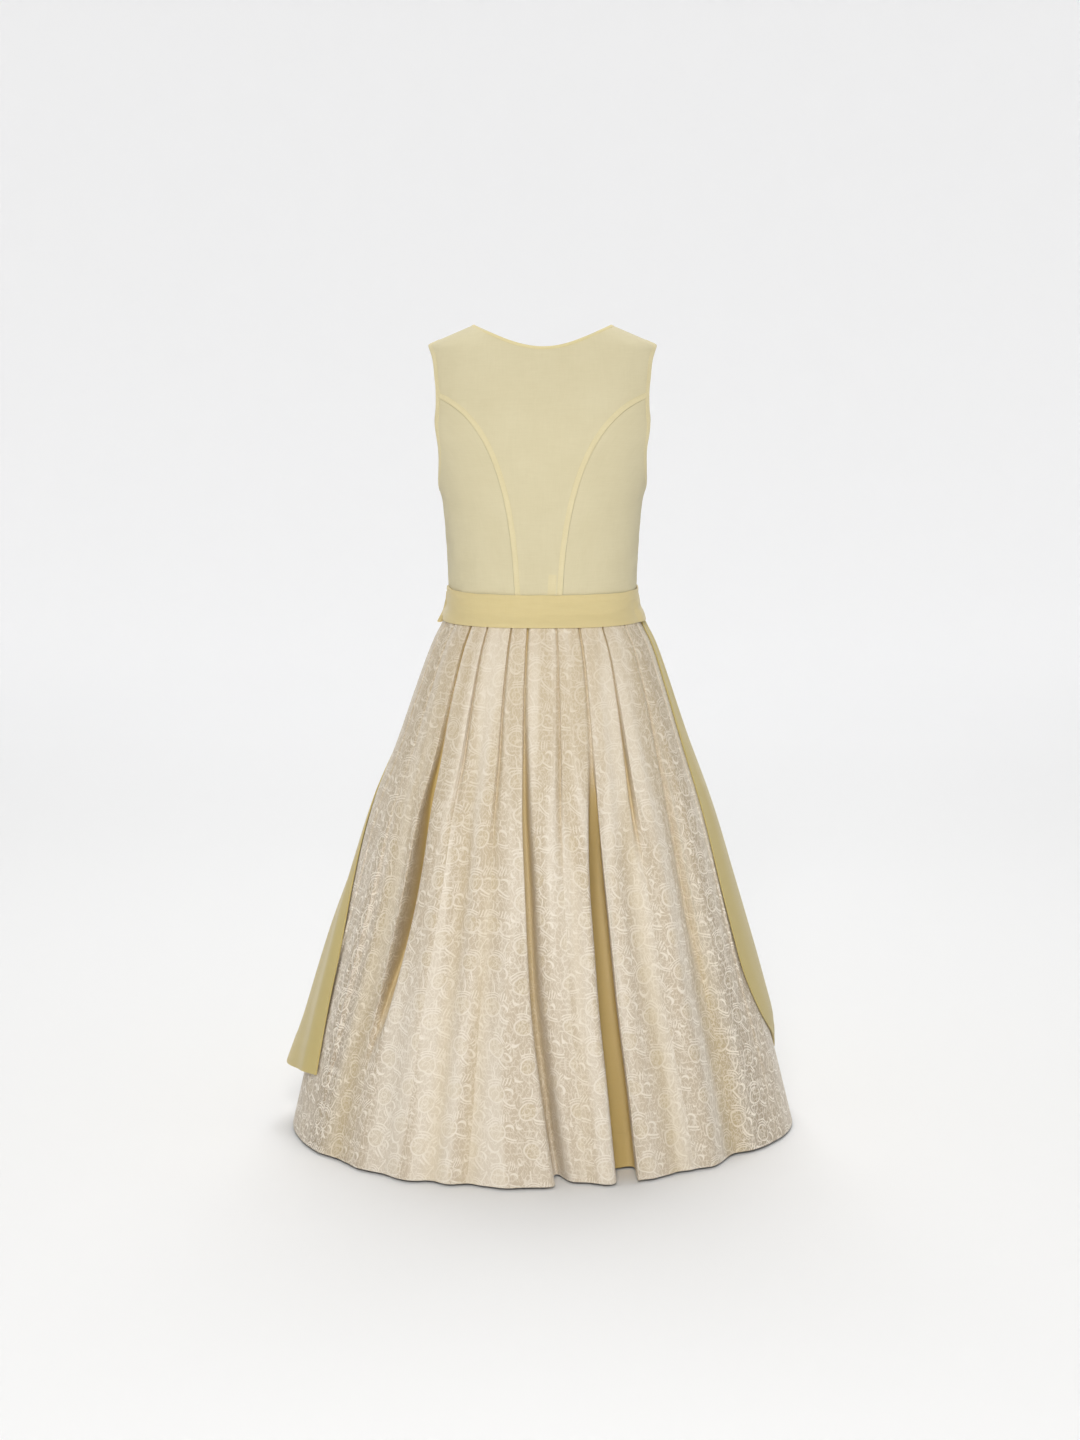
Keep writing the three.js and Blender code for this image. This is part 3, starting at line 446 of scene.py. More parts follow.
def brocade_material():
    """Cream brocade: a matt ribbed ground, and a satin figure in half-drop columns, 36 mm by 46 mm high.

    The figure is a ring with a tail and a darker pool inside it, two arcs over it, slanting strokes in
    threes, and crescent leaves, made as one circle less another. Its lines are 1 to 2 mm wide, each repeat
    is turned a little its own way, slow noise makes the lines waver, and thin lines between the figures
    follow a noise's contours. Shade is painted into the ground near the waist and where the cloth turns
    away to the sides, and the figure is painted clearer lower down and at the sides, as the satin's sheen.
    Faint paler stripes are partly the satin weave and partly painted sheen. Down in a fold and in the
    hollows between flutes, shade is painted in: the figure fades there and the cloth is painted tan."""
    material, shader, u, v = new_material("cream_brocade")
    wide, high, waver = 36.0, 46.0, 12.0
    x0 = u * -1.0 + (noise(u, v, 30, 30, 1, 1.5) - 0.5) * waver
    y0 = v + (noise(u, v, 27, 33, 1, 8.5) - 0.5) * waver
    column = (x0 * (1 / wide)).maths("ROUND")
    odd = (column * 0.5).maths("FRACT").maths("ABSOLUTE").step(0.2, 0.3)
    row = ((y0 + odd * (high / 2)) * (1 / high)).maths("ROUND")
    x, y = x0 - column * wide, y0 + odd * (high / 2) - row * high
    place = u.made("ShaderNodeCombineXYZ", {0: column, 1: row, 2: 0.5})
    angle = (u.made("ShaderNodeTexWhiteNoise", {"Vector": place}, noise_dimensions="3D") - 0.5) * 1.1
    cosine, sine = angle.maths("COSINE"), angle.maths("SINE")
    x, y = x + angle * 6.0, y - (angle * 9.0).maths("SINE") * 3.0
    x, y = x * cosine - y * sine, x * sine + y * cosine

    def circle(cx, cy, r):
        return (x - cx).length(y - cy) - r

    def stroke(distance, width):
        return distance.maths("ABSOLUTE").step(width * 0.5 + 0.4, width * 0.5 - 0.4)

    def leaf(cx, cy, r, dx, dy):
        return circle(cx, cy, r).step(0.5, -0.5) * circle(cx + dx, cy + dy, r).step(-0.5, 0.5)

    ring = stroke(circle(-3, 2, 9.6), 1.7) * circle(5.0, -6.0, 3.4).step(-0.4, 0.4)
    tail = stroke(circle(22, -8, 25.6), 1.8) * x.step(3.0, 4.0) * y.step(7.5, 8.5)
    tail = tail.maths("MAXIMUM", stroke(circle(22, -8, 28.6), 1.2) * x.step(4.0, 5.0) * y.step(9.5, 10.5))
    arcs = (stroke(circle(-3, 2, 12.8), 1.2) + stroke(circle(-3, 2, 15.6), 1.2)) * y.step(-7.0, -8.5)
    arcs = arcs * (x + 2.0).maths("ABSOLUTE").step(10.0, 8.0)
    box = (x - 12.0).maths("ABSOLUTE").step(5.4, 4.6) * (y + 9.0).maths("ABSOLUTE").step(4.8, 4.0)
    strokes = box * ((x + y * 0.55) * (2 * math.pi / 3.4)).maths("SINE").step(0.15, 0.65)
    leaves = leaf(-13.5, 15.0, 6.6, 2.6, -2.4).maths("MAXIMUM", leaf(12.5, 3.5, 5.0, -1.9, 2.3))
    sweep = stroke(circle(-30, -20, 30.0), 1.3) * y.step(-13.0, -14.5)
    curl = stroke(circle(-4.5, 3.0, 4.4), 1.1) * circle(-8.0, 6.5, 3.0).step(-0.4, 0.4) * 0.6
    sweep = sweep.maths("MAXIMUM", curl)
    contours = stroke((noise(u, v, 8.0, 12.0, 0.4, 15.0) - 0.5) * 60.0, 2.6) * 0.7
    feather = stroke((noise(u, v, 3.4, 6.0, 0.6, 25.0) - 0.5) * 26.0, 2.2) * 0.5
    figure = contours.maths("MAXIMUM", feather)
    for part in (ring * 0.85, tail, arcs, strokes, leaves, sweep):
        figure = figure.maths("MAXIMUM", part)
    pool = circle(-3, 2, 8.6).step(0.6, -0.6)
    # paler stripes, partly the satin weave and partly painted sheen
    sheen_stripe = noise(u, v, 26, 400, 1, 33.0).step(0.42, 0.62)

    # fold marks the tan shade painted in folds and hollows, aslant the shade painted on the turned-away sides
    fold, aslant = marked(u, "fold"), marked(u, "aslant")
    worn = noise(u, v, 5, 7, 2, 4.0).step(0.18, 0.46)
    # the figure is painted clearer lower down and on the turned-away sides, as the satin's sheen
    clear = (v.step(40.0, 380.0) * 0.45 + 0.55) * (aslant * 0.5 + 0.85)
    figure = figure * worn * clear * (1.0 - fold * 0.85)
    rib = (v * (2 * math.pi / 1.7)).maths("SINE")
    fine = noise(u, v, 6.0, 1.1, 2, 2.0)
    cloud = noise(u, v, 50, 80, 2, 6.0)
    colour = (fine * 0.6 + cloud * 0.6 - 0.1 + rib * 0.06).between(BROCADE["ground_dark"], BROCADE["ground"])
    for share, tint in (
        # painted shade near the waist
        (v.step(460.0, 80.0) * 0.8, "high"),
        (pool * clear * worn * 0.5, "pool"),
        # painted sheen stripes, partly the weave's own
        (sheen_stripe * 0.4, "figure"),
        # painted shade on the turned-away sides, stronger lower down
        (aslant * (v.step(150.0, 600.0) * 0.45 + 0.5), "side"),
        (figure * 0.85, "figure"),
        # tan shade painted in folds and hollows, where the figure fades
        (fold * 0.92, "fold"),
    ):
        colour = share.between(colour, BROCADE[tint])
    hem = (v - HEM_LINE).maths("ABSOLUTE").step(1.3, 0.3)
    height = figure * 0.5 + rib * 0.08 + fine * 0.2 - hem * 1.0
    rough = 0.64 - figure * (0.2 - aslant * 0.15) + fine * 0.05
    join(shader, Base_Color=colour, Roughness=rough, Normal=bumped(height, 0.28, 0.5))
    join(shader, Sheen_Weight=0.1, Sheen_Roughness=0.4, Specular_IOR_Level=0.4)
    return material


linen = woven("yellow_linen", linear(224, 215, 182), linear(207, 196, 159), 0.9, 1.0, 0.78, 0.10, 0.5)
edging = woven("edging_linen", linear(224, 213, 175), linear(209, 196, 153), 0.9, 0.8, 0.78, 0.08, 9.5)
neck_edging = woven("neck_linen", linear(223, 211, 167), linear(208, 194, 146), 0.9, 0.8, 0.78, 0.08, 12.5)
# the cotton's side colour is shade painted where the apron turns away
cotton = woven(
    "yellow_cotton", linear(236, 220, 168), linear(224, 206, 150), 0.7, 0.6, 0.72, 0.35, 20.5,
    side=linear(204, 186, 116),
)
button_cloth = woven("button_cloth", linear(222, 208, 160), linear(206, 190, 140), 0.7, 0.6, 0.6, 0.1, 31.0)
thread, thread_shader, _, _ = new_material("yellow_thread")
thread_place = on_object(thread)
twist = thread_place.made("ShaderNodeTexNoise", {"Vector": thread_place, "Scale": 700.0, "Detail": 2.0})
join(thread_shader, Base_Color=twist.between(linear(208, 194, 148), linear(238, 228, 188)), Roughness=0.6)
brocade = brocade_material()


def thin(material, share, colour):
    """Lets some light of one colour through a material, as thin cotton does."""
    tree = material.node_tree
    shader = tree.nodes["Principled BSDF"]
    glow = tree.nodes.new("ShaderNodeBsdfTranslucent")
    both = tree.nodes.new("ShaderNodeMixShader")
    both.inputs[0].default_value = share
    glow.inputs["Color"].default_value = colour
    tree.links.new(shader.outputs[0], both.inputs[1])
    tree.links.new(glow.outputs[0], both.inputs[2])
    tree.links.new(both.outputs[0], tree.nodes["Material Output"].inputs[0])


thin(cotton, 0.22, linear(230, 213, 159))
thin(linen, 0.08, linear(216, 206, 171))


# ---------------------------------------------------------------- the bodice
def torso_row(z):
    """The body's half width, back and front depth at a height; straight shoulder lines above the tips."""
    slope = (NECK_HALF - TORSO[1][1]) / -TIP_Z
    half = np.where(z > TIP_Z, NECK_HALF + slope * z, along(TORSO[1:], 1, z))
    return half, along(TORSO, 2, z), along(TORSO, 3, z)


def torso(angle, z):
    half, back, front = torso_row(z)
    return on_section(half, back, front, TORSO_POWER, angle, z)


def torso_out(angle, z):
    """The outward direction, square to the body's surface, from differences of 0.01 radian and 0.4 mm."""
    z = np.minimum(z, -0.4)
    along_row = torso(angle + 0.01, z) - torso(angle - 0.01, z)
    normal = unit(np.cross(along_row, torso(angle, z + 0.4) - torso(angle, z - 0.4)))
    here = (normal * torso(angle, z))[..., :2].sum(-1, keepdims=True)
    return np.where(here < 0, -normal, normal)


def torso_angle(points):
    """The angle of the nearest place on the body at a point's own height: the inverse of the superellipse."""
    half, back, front = torso_row(points[..., 2])
    depth = np.where(points[..., 1] > 0, back, front)
    p = TORSO_POWER / 2
    return np.arctan2(power(points[..., 0] / half, p), power(points[..., 1] / depth, p))


def angle_across(x, z, front=False):
    share = np.minimum(1, np.abs(x) / torso_row(z)[0])
    angle = np.arcsin(share ** (TORSO_POWER / 2)) * np.where(x < 0, -1, 1)
    return math.pi - angle if front else angle


def armhole(turn, side, front):
    """Angles and heights round an armhole: an ellipse from the side, from its top to the underarm."""
    z = ARMHOLE_Z + ARMHOLE_HALF * np.cos(turn)
    depth = along(TORSO, 3 if front else 2, z)
    share = clamp((FRONT_REACH if front else BACK_REACH) * np.sin(turn) / depth)
    from_back = np.arccos(share ** (TORSO_POWER / 2))
    return np.stack([side * (math.pi - from_back if front else from_back), z], -1)


def armhole_turn(z):
    return math.acos((z - ARMHOLE_Z) / ARMHOLE_HALF)


def princess(seam, side, front, count):
    """Angles and heights up a princess seam: a cubic Bezier curve on the back or front, waist to armhole."""
    angle, z = armhole(np.array(armhole_turn(seam["armhole"])), 1, front)
    end = (torso(angle, z)[0], seam["armhole"])
    a, b, c, d = np.array([(seam["waist"], WAIST_Z), seam["low"], seam["high"], end])
    t = (1 - (1 - np.linspace(0, 1, count + 1)) ** 1.25)[:, None]
    p = (1 - t) ** 3 * a + 3 * t * (1 - t) ** 2 * b + 3 * t**2 * (1 - t) * c + t**3 * d
    x = side * p[:, 0] + seam["drift"] * (1 - t[:, 0] ** 2)
    return np.stack([side * angle_across(side * x, p[:, 1], front), p[:, 1]], -1)


def up_armhole(seam, side, front, count):
    return armhole(armhole_turn(seam["armhole"]) * (1 - np.linspace(0, 1, count + 1)), side, front)


def down_armhole(seam, side, front, count):
    return armhole(mix(armhole_turn(seam["armhole"]), math.pi, np.linspace(0, 1, count + 1)), side, front)


def shoulder(side, count):
    t = np.linspace(0, 1, count + 1)
    return np.stack([np.full(count + 1, side * math.pi / 2), TIP_Z * (1 - t)], -1)


def back_neckline(count):
    """Angles and heights across the back neckline, whose depth is a power of a cosine."""
    x = NECK_HALF * (1 - 2 * np.linspace(0, 1, count + 1))
    z = -BACK_DROP * np.abs(np.cos(math.pi / 2 * clamp(np.abs(x) / NECK_HALF))) ** BACK_POWER
    return np.stack([angle_across(x, z), z], -1)


def front_neck_z(x):
    return -FRONT_DROP * (1 - clamp(np.abs(x) / NECK_HALF) ** FRONT_POWER) ** FRONT_ROUND


def closure_side(side, x, z):
    return side * math.pi - side * angle_across(side * x, z)


def front_neckline(side, count):
    t = np.linspace(0, 1, count + 1)
    x = mix(side * NECK_HALF, CLOSURE_X, 1 - (1 - t) ** 1.6)
    return np.stack([closure_side(side, x, front_neck_z(x)), front_neck_z(x)], -1)


def coons(left, right, bottom, top):
    """A blend of four edges, in which the top edge's uneven spacing fades with the cube of the height."""
    s = np.linspace(0, 1, len(bottom))[None, :, None]
    t = (np.linspace(0, 1, len(left)) ** 3)[:, None, None]
    sides = mix(left[:, None], right[:, None], s)
    ends = mix(bottom[None], top[None], t)
    return sides + ends - mix(mix(bottom[0], bottom[-1], s), mix(top[0], top[-1], s), t)


def drawn_in(points, outwards, gap):
    """Draws the four edges of a grid in by half a gap, along the cloth and square to the edge."""
    moved = points.copy()
    for lines, inside, out, at in (
        (points[:, 0], points[:, 1], outwards[:, 0], np.s_[:, 0]),
        (points[:, -1], points[:, -2], outwards[:, -1], np.s_[:, -1]),
        (points[0], points[1], outwards[0], np.s_[0]),
        (points[-1], points[-2], outwards[-1], np.s_[-1]),
    ):
        across = unit(np.cross(np.gradient(lines, axis=0), out))
        toward = np.sign(((inside - lines) * across).sum(-1, keepdims=True))
        moved[at] += across * toward * gap / 2
    return moved


def line_length(points):
    """The length along a line of points, from its first."""
    return np.concatenate([[0], np.linalg.norm(np.diff(points, axis=0), axis=-1).cumsum()])


def arc(grid, start=0):
    """The length along each row of a grid, from its start column."""
    run = np.linalg.norm(np.diff(grid, axis=1), axis=-1).cumsum(1)
    run = np.concatenate([np.zeros((len(grid), 1)), run], 1)
    return run - run[:, start : start + 1]


SEAM_ROWS, ARMHOLE_ROWS = 44, 14  # up the princess seam, and on up the armhole
SEAM_PART, ARMHOLE_PART = np.s_[: SEAM_ROWS + 1], np.s_[SEAM_ROWS:]
SHOULDER_COLUMNS, NECK_COLUMNS, FRONT_NECK_COLUMNS, UNDERARM_COLUMNS = 16, 48, 40, 32


def waist_between(a, b, count):
    return np.stack([np.linspace(a, b, count + 1), np.full(count + 1, WAIST_Z)], -1)


def easing(angle, z):
    """How far the worn cloth stands off its smooth shape: slack low on the back, and faint drag lines."""
    wide, low = angle * 90, smooth((EASE["slack_top"] - z) / EASE["slack_over"])
    slack = EASE["slack"] * low * soft_noise(wide / 70, z / 16, 11, 2)
    return slack + EASE["drag"] * soft_noise(wide / 90, z / 110, 12, 2)


panel_grids = {}


def add_panel(name, left, right, bottom, top):
    """A panel of the bodice: the Coons blend of its edges laid on the body, and a wall outwards from it."""
    places = coons(left, right, bottom, top)
    angle, z = places[..., 0], places[..., 1]
    outwards = torso_out(angle, z)
    inner = drawn_in(torso(angle, z), outwards, PANEL_GAP)
    border = np.minimum(1, np.minimum.outer(np.arange(len(left)), np.arange(len(bottom))) / 4)
    border = np.minimum(border, border[::-1, ::-1])
    inner = inner + outwards * (easing(angle, z) * border)[..., None]
    outer = inner + outwards * WALL["bodice"]
    v = -z
    cloth = shell(name + "_cloth", inner, outer, arc(outer, len(bottom) // 2), v, linen)
    panel_grids[name] = outer
    return finish_piece(cloth, "bodice_linen", name)


def full_edge(seam, side, front):
    up = up_armhole(seam, side, front, ARMHOLE_ROWS)
    return np.concatenate([princess(seam, side, front, SEAM_ROWS), up[1:]])


def edge_frame(places, inward):
    """Points on the body along an edge, and the direction across the edge, into the cloth."""
    base, out = torso(places[:, 0], places[:, 1]), torso_out(places[:, 0], places[:, 1])
    return base, unit(np.cross(out, unit(np.gradient(base, axis=0)))) * inward


def strip(name, places, width, lift, inward, material, start=0.4, steps=7, flat=0.35):
    """A narrow double layer along an edge of a panel, given by angles and heights: it starts a little inside
    the edge, is lifted off the panel, and its own edges roll down."""
    base, across = edge_frame(places, inward)
    share = np.linspace(0, 1, steps)
    distance = start + (width - start) * share
    flat_points = base[:, None] + across[:, None] * distance[None, :, None]
    angle, z = torso_angle(flat_points), np.minimum(flat_points[..., 2], -0.01)
    normal = torso_out(angle, z)
    ground = torso(angle, z) + normal * (WALL["bodice"] + easing(angle, z))[..., None]
    roll = np.minimum(1, from_ends(share) * 5)[None, :, None]
    outer = ground + normal * lift * (flat + (1 - flat) * roll)
    inner = ground - normal * 0.3
    u = np.broadcast_to(distance, outer.shape[:2])
    v = np.broadcast_to(line_length(base)[:, None], outer.shape[:2])
    return finish_piece(shell(name, inner, outer, u, v, material), "bodice_linen")


def stitches(name, rows, inward, distance, lift, pitch=3.0, length=2.1, radius=0.28):
    """Stitches along an edge, each a thin spindle: two points and a ring of four between them."""
    points, faces = [], []
    for places in rows:
        base, across = edge_frame(places, inward)
        line = base + across * distance
        angle, z = torso_angle(line), np.minimum(line[:, 2], -0.01)
        out = torso_out(angle, z)
        line = torso(angle, z) + out * (WALL["bodice"] + lift + easing(angle, z))[:, None]
        run = line_length(line)
        at = np.arange(pitch, run[-1] - pitch, pitch)

        def pick(values, s):
            return np.stack([np.interp(s, run, values[:, k]) for k in range(3)], -1)

        middle, a, b = pick(line, at), pick(line, at - length / 2), pick(line, at + length / 2)
        normal, side = unit(pick(out, at)), unit(pick(across, at))
        ring = [middle + way * radius for way in (normal, side, -normal, -side)]
        start = sum(len(p) for p in points)
        block = np.stack([a, b, *ring], 1)
        points.append(block.reshape(-1, 3))
        spindle = [(0, 2, 3), (0, 3, 4), (0, 4, 5), (0, 5, 2), (1, 3, 2), (1, 4, 3), (1, 5, 4), (1, 2, 5)]
        steps = (np.arange(len(at)) * 6)[:, None, None]
        faces.append((np.array(spindle)[None] + steps).reshape(-1, 3) + start)
    thing = add_mesh(name, np.concatenate(points), np.concatenate(faces), None, thread, 0)
    return finish_piece(thing, "bodice_linen")


def add_bodice():
    """The seven panels, and on them the strips along the seams, armholes and neckline with their stitches."""
    neckline = back_neckline(NECK_COLUMNS)
    edges = {side: full_edge(BACK_SEAM, side, False) for side in (1, -1)}
    shoulders = [shoulder(side, SHOULDER_COLUMNS) for side in (1, -1)]
    top = np.concatenate([shoulders[0], neckline[1:-1], shoulders[1][::-1]])
    waist = waist_between(edges[1][0, 0], edges[-1][0, 0], len(top) - 1)
    back = add_panel("bodice_back", edges[1], edges[-1], waist, top)
    trims = []

    for label, side in (("left", 1), ("right", -1)):
        seam_z = np.linspace(WAIST_Z, ARMHOLE_Z - ARMHOLE_HALF, SEAM_ROWS + 1)
        side_seam = np.stack([np.full_like(seam_z, side * math.pi / 2), seam_z], -1)
        for place, seam, front in (("back", BACK_SEAM, False), ("front", FRONT_SEAM, True)):
            edge = princess(seam, side, front, SEAM_ROWS)
            name = f"bodice_side_{place}_{label}"
            waist = waist_between(edge[0, 0], side_seam[0, 0], UNDERARM_COLUMNS)
            under = down_armhole(seam, side, front, UNDERARM_COLUMNS)
            panel = add_panel(name, edge, side_seam, waist, under)
            turn = -side if front else side
            hem = strip(name + "_armhole_strip", under, 5.6, 0.3, turn, edging, 0.3)
            sewn = stitches(name + "_armhole_stitches", [under], turn, 5.0, 0.2)
            bodice_sheets.append((panel, panel_grids[name], [hem, sewn]))

        outer = full_edge(FRONT_SEAM, side, True)
        heights = np.linspace(WAIST_Z, front_neck_z(CLOSURE_X), len(outer))
        closure = np.stack([closure_side(side, CLOSURE_X, heights), heights], -1)
        neck = front_neckline(side, FRONT_NECK_COLUMNS)
        front_top = np.concatenate([shoulder(side, SHOULDER_COLUMNS), neck[1:]])
        waist = waist_between(outer[0, 0], closure[0, 0], len(front_top) - 1)
        name = f"bodice_front_{label}"
        panel = add_panel(name, outer, closure, waist, front_top)
        pieces = [
            strip(name + "_seam_strip", outer[SEAM_PART], 6.2, 0.35, side, edging),
            strip(name + "_armhole_strip", outer[ARMHOLE_PART], 5.6, 0.3, side, edging, 0.3),
            strip(name + "_neck_edge", neck[:-1], 4.0, 0.35, side, neck_edging, 0.2),
            stitches(name + "_stitches", [outer[SEAM_PART], outer[ARMHOLE_PART]], side, 5.4, 0.25),
        ]
        bodice_sheets.append((panel, panel_grids[name], pieces))

        edge = edges[side]
        trims += [
            strip(f"back_seam_strip_{label}", edge[SEAM_PART], 6.4, 0.4, -side, edging),
            strip(f"back_armhole_strip_{label}", edge[ARMHOLE_PART], 5.6, 0.3, -side, edging, 0.3),
            stitches(f"back_stitches_{label}", [edge[SEAM_PART], edge[ARMHOLE_PART]], -side, 5.5, 0.3),
        ]
    allowance = edges[-1][:6]
    trims += [
        strip("back_neck_edge", neckline, 4.0, 0.35, -1, neck_edging, 0.2),
        strip("back_seam_allowance_right", allowance, 17.0, 0.1, 1, edging, 8.0),
    ]
    bodice_sheets.append((back, panel_grids["bodice_back"], trims))


def add_buttons():
    """Cloth-covered buttons on the right front: a short rim below a dome, its section a quarter ellipse."""
    turn, rise = np.linspace(0, 2 * math.pi, 49)[:-1], np.linspace(0, 1, 14)
    profile_r = np.concatenate([[0.92, 1], np.cos(rise * math.pi / 2)[:-1]]) * BUTTONS["radius"]
    profile_h = np.concatenate([[0, 0.5], 1.2 + np.sin(rise * math.pi / 2)[:-1] * (BUTTONS["height"] - 1.2)])
    for k in range(BUTTONS["count"]):
        z = BUTTONS["first"] - k * BUTTONS["spacing"]
        out = torso_out(np.array(math.pi), np.array(float(z)))
        middle = torso(np.array(math.pi), np.array(float(z))) + out * (WALL["bodice"] + SEAM_GAP)
        up = unit(np.array([0, 0, 1.0]) - out * out[2])
        side = np.cross(up, out)
        ring = profile_r[:, None, None] * (np.cos(turn)[:, None] * side + np.sin(turn)[:, None] * up)
        points = (middle + ring + profile_h[:, None, None] * out).reshape(-1, 3)
        rows, n = len(profile_r), len(turn)
        points = np.concatenate([points, [middle], [middle + out * BUTTONS["height"]]])
        quads = grid_faces(rows, n, True)
        a, b = np.arange(n), (np.arange(n) + 1) % n
        last = (rows - 1) * n
        under = np.stack([b, a, np.full(n, rows * n)], -1)
        caps = np.concatenate([under, np.stack([last + a, last + b, np.full(n, rows * n + 1)], -1)])
        local = np.stack([(points - middle) @ side, (points - middle) @ up], -1)
        uv = np.concatenate([local[quads].reshape(-1, 2), local[caps].reshape(-1, 2)])
        dome = add_mesh(f"button_{k + 1}_dome", points, [quads, caps], uv, button_cloth)
        finish_piece(dome, "button", f"button_{k + 1}")


# ---------------------------------------------------------------- the skirt
def off_skirt(angle, z, off):
    """A point off the skirt's outline, level with the ground and square to the outline; angles in degrees."""
    angle, z, off = np.broadcast_arrays(*(np.asarray(value, float) for value in (angle, z, off)))
    down = clamp((WAIST_Z - z) / (WAIST_Z - HEM_Z))
    p = mix(*SKIRT_POWER, smooth(down * 2))
    half, back, front = along(SKIRT, 1, z), along(SKIRT, 2, z), along(SKIRT, 3, z)

    def at(a):
        return on_section(half, back, front, p, np.radians(a), z)

    point, tangent = at(angle), at(angle + 0.5) - at(angle - 0.5)
    out = unit(np.stack([tangent[..., 1], -tangent[..., 0], np.zeros_like(z)], -1))
    out = np.where((out * point).sum(-1, keepdims=True) < 0, -out, out)
    turned = angle % 360
    dent = np.where(turned > 270, RIGHT_BACK_DENT * down**2 * np.sin(np.radians(turned - 270) * 2) ** 2, 0)
    point[..., 0] += along(SKIRT, 4, z)
    return point + out * (off - dent)[..., None]


LIP_STOPS = np.s_[10:12]  # the control points of a pleat at its lapping edge
FLOOR_STOP = {1: 5, -1: 7}  # the control point in the middle of its floor, by the side that laps over


def turned_away(angle, z):
    """How far the skirt's outline turns away from the back: 0 where it faces the back or the front."""
    return smooth((1 - np.abs((off_skirt(angle, z, 1) - off_skirt(angle, z, 0))[..., 1])) * 1.3)


def pleat_stops(pleat, down, scale):
    """The control points of one pleat's section, as angles, offsets and marks of the tan shade painted down
    in
    the fold, by row: a long slope down to a floor, and back up to the lapping edge, under which the floor
    runs on a little. The scale is in degrees for each millimetre, by row."""
    opened = smooth((down - pleat.opens) / PLEAT["open_over"])
    closed = smooth((down - pleat.closes) / PLEAT["close_over"])
    width = mix(0.5, 1, smooth(down * 2.2))
    top = mix(0.25, 1, pleat.tan_top) * PLEAT["top"]
    depth = mix(mix(top, pleat.depth, opened), PLEAT["closed"], closed)
    floor = pleat.floor * mix(0.2, 1, opened) * (1 - 0.5 * closed)
    rise = PLEAT["lap"] * width * (1 + 1.5 * closed)
    slope = pleat.slope * width
    crisp = smooth((depth - 6) / 14)
    under = depth * 0.26 * crisp * scale
    rise = mix(rise, np.minimum(rise, 0.5 * scale), crisp)
    lip = 2.2 * scale
    rows = [
        (-(floor + slope), 0.0), (-(floor + slope * 0.72), 0.17), (-(floor + slope * 0.4), 0.58),
        (-(floor + slope * 0.12), 0.93), (-floor * 0.5, 1.0), (floor * 0.4, 1.0), (floor + under, 1.0),
        (floor + under * 0.94, 0.86), (floor + under * 0.5, 0.5), (floor + rise * 0.5, 0.16),
        (floor + rise * 0.2, 0.03), (floor + rise, -0.0), (floor + rise + lip, 0.0),
    ]
    at = np.stack([np.broadcast_to(a, down.shape) for a, _ in rows], -1) * pleat.lap
    shares = np.array([share for _, share in rows])
    off = -depth[:, None] * shares
    off[:, LIP_STOPS] += 0.7 * crisp[:, None]
    at = (pleat.angle + pleat.drift * down**2)[:, None] + at
    # tan shade painted down in the fold, more where it is deep
    tan = mix(pleat.tan_top, pleat.tan_low, down) * smooth((depth - 1) / mix(5, 20, smooth(down * 4)))
    fold = tan[:, None] * smooth(shares * 1.5 - 0.35)
    drop = 0.5 * PLEAT["crown"] * smooth(down * 1.5) * opened * (1 - closed)
    off[:, [0, -1]] -= drop[:, None]
    if pleat.lap < 0:
        at, off, fold = at[:, ::-1], off[:, ::-1], fold[:, ::-1]
    return np.stack([at, off, fold], -1), drop


def b_spline(controls, samples):
    """Points of a clamped uniform cubic B-spline, by row, with a number of samples for each control."""
    padded_controls = np.concatenate([controls[:, :1]] * 2 + [controls] + [controls[:, -1:]] * 2, 1)
    spans = padded_controls.shape[1] - 3
    t = np.linspace(0, spans, spans * samples + 1)
    k = np.minimum(t.astype(int), spans - 1)
    s = (t - k)[None, :, None]
    a, b, c, d = (padded_controls[:, k + i] for i in range(4))
    return (
        a * (1 - s) ** 3 + b * (3 * s**3 - 6 * s**2 + 4) + c * (-3 * s**3 + 3 * s**2 + 3 * s + 1) + d * s**3
    ) / 6


def skirt_controls(pleats, span, faces, down, scale):
    """The control points of a width by row, with a shallow crown on each face between two pleats, and the
    numbers of those in the middle of the pleats' floors."""
    gap, edge = SEAM_GAP / 2 * scale, np.zeros(len(down))
    start, end = (np.stack([at, edge, edge], -1)[:, None] for at in (span[0] + gap, span[1] - gap))
    stops = [(start, edge), *(pleat_stops(pleat, down, scale) for pleat in pleats), (end, edge)]
    blocks, floors, count = [start], [], 1
    t = (np.arange(1, faces + 1) / (faces + 1))[None]
    for k in range(1, len(stops)):
        (before, drop_a), (after, drop_b) = stops[k - 1], stops[k]
        crown = -drop_a[:, None] * clamp(1 - 2 * t) ** 2 - drop_b[:, None] * clamp(2 * t - 1) ** 2
        face = mix(before[:, -1:, 0], after[:, :1, 0], t)
        blocks += [np.stack([face, crown, 0 * face], -1), after]
        count += faces + after.shape[1]
        if k < len(stops) - 1:
            floors.append(count - after.shape[1] + FLOOR_STOP[pleats[k - 1].lap])
    controls = np.concatenate(blocks, 1)
    for pleat in pleats:
        lip = (pleat.angle + pleat.drift * down**2 + pleat.lap * pleat.floor)[:, None]
        away = (lip - controls[..., 0]) * pleat.lap
        if pleat.fall:
            near = smooth(away / 0.7 + 0.6) * (1 - smooth(away / pleat.reach))
            controls[..., 1] -= pleat.fall * down[:, None] ** 2 * near
    return controls, floors


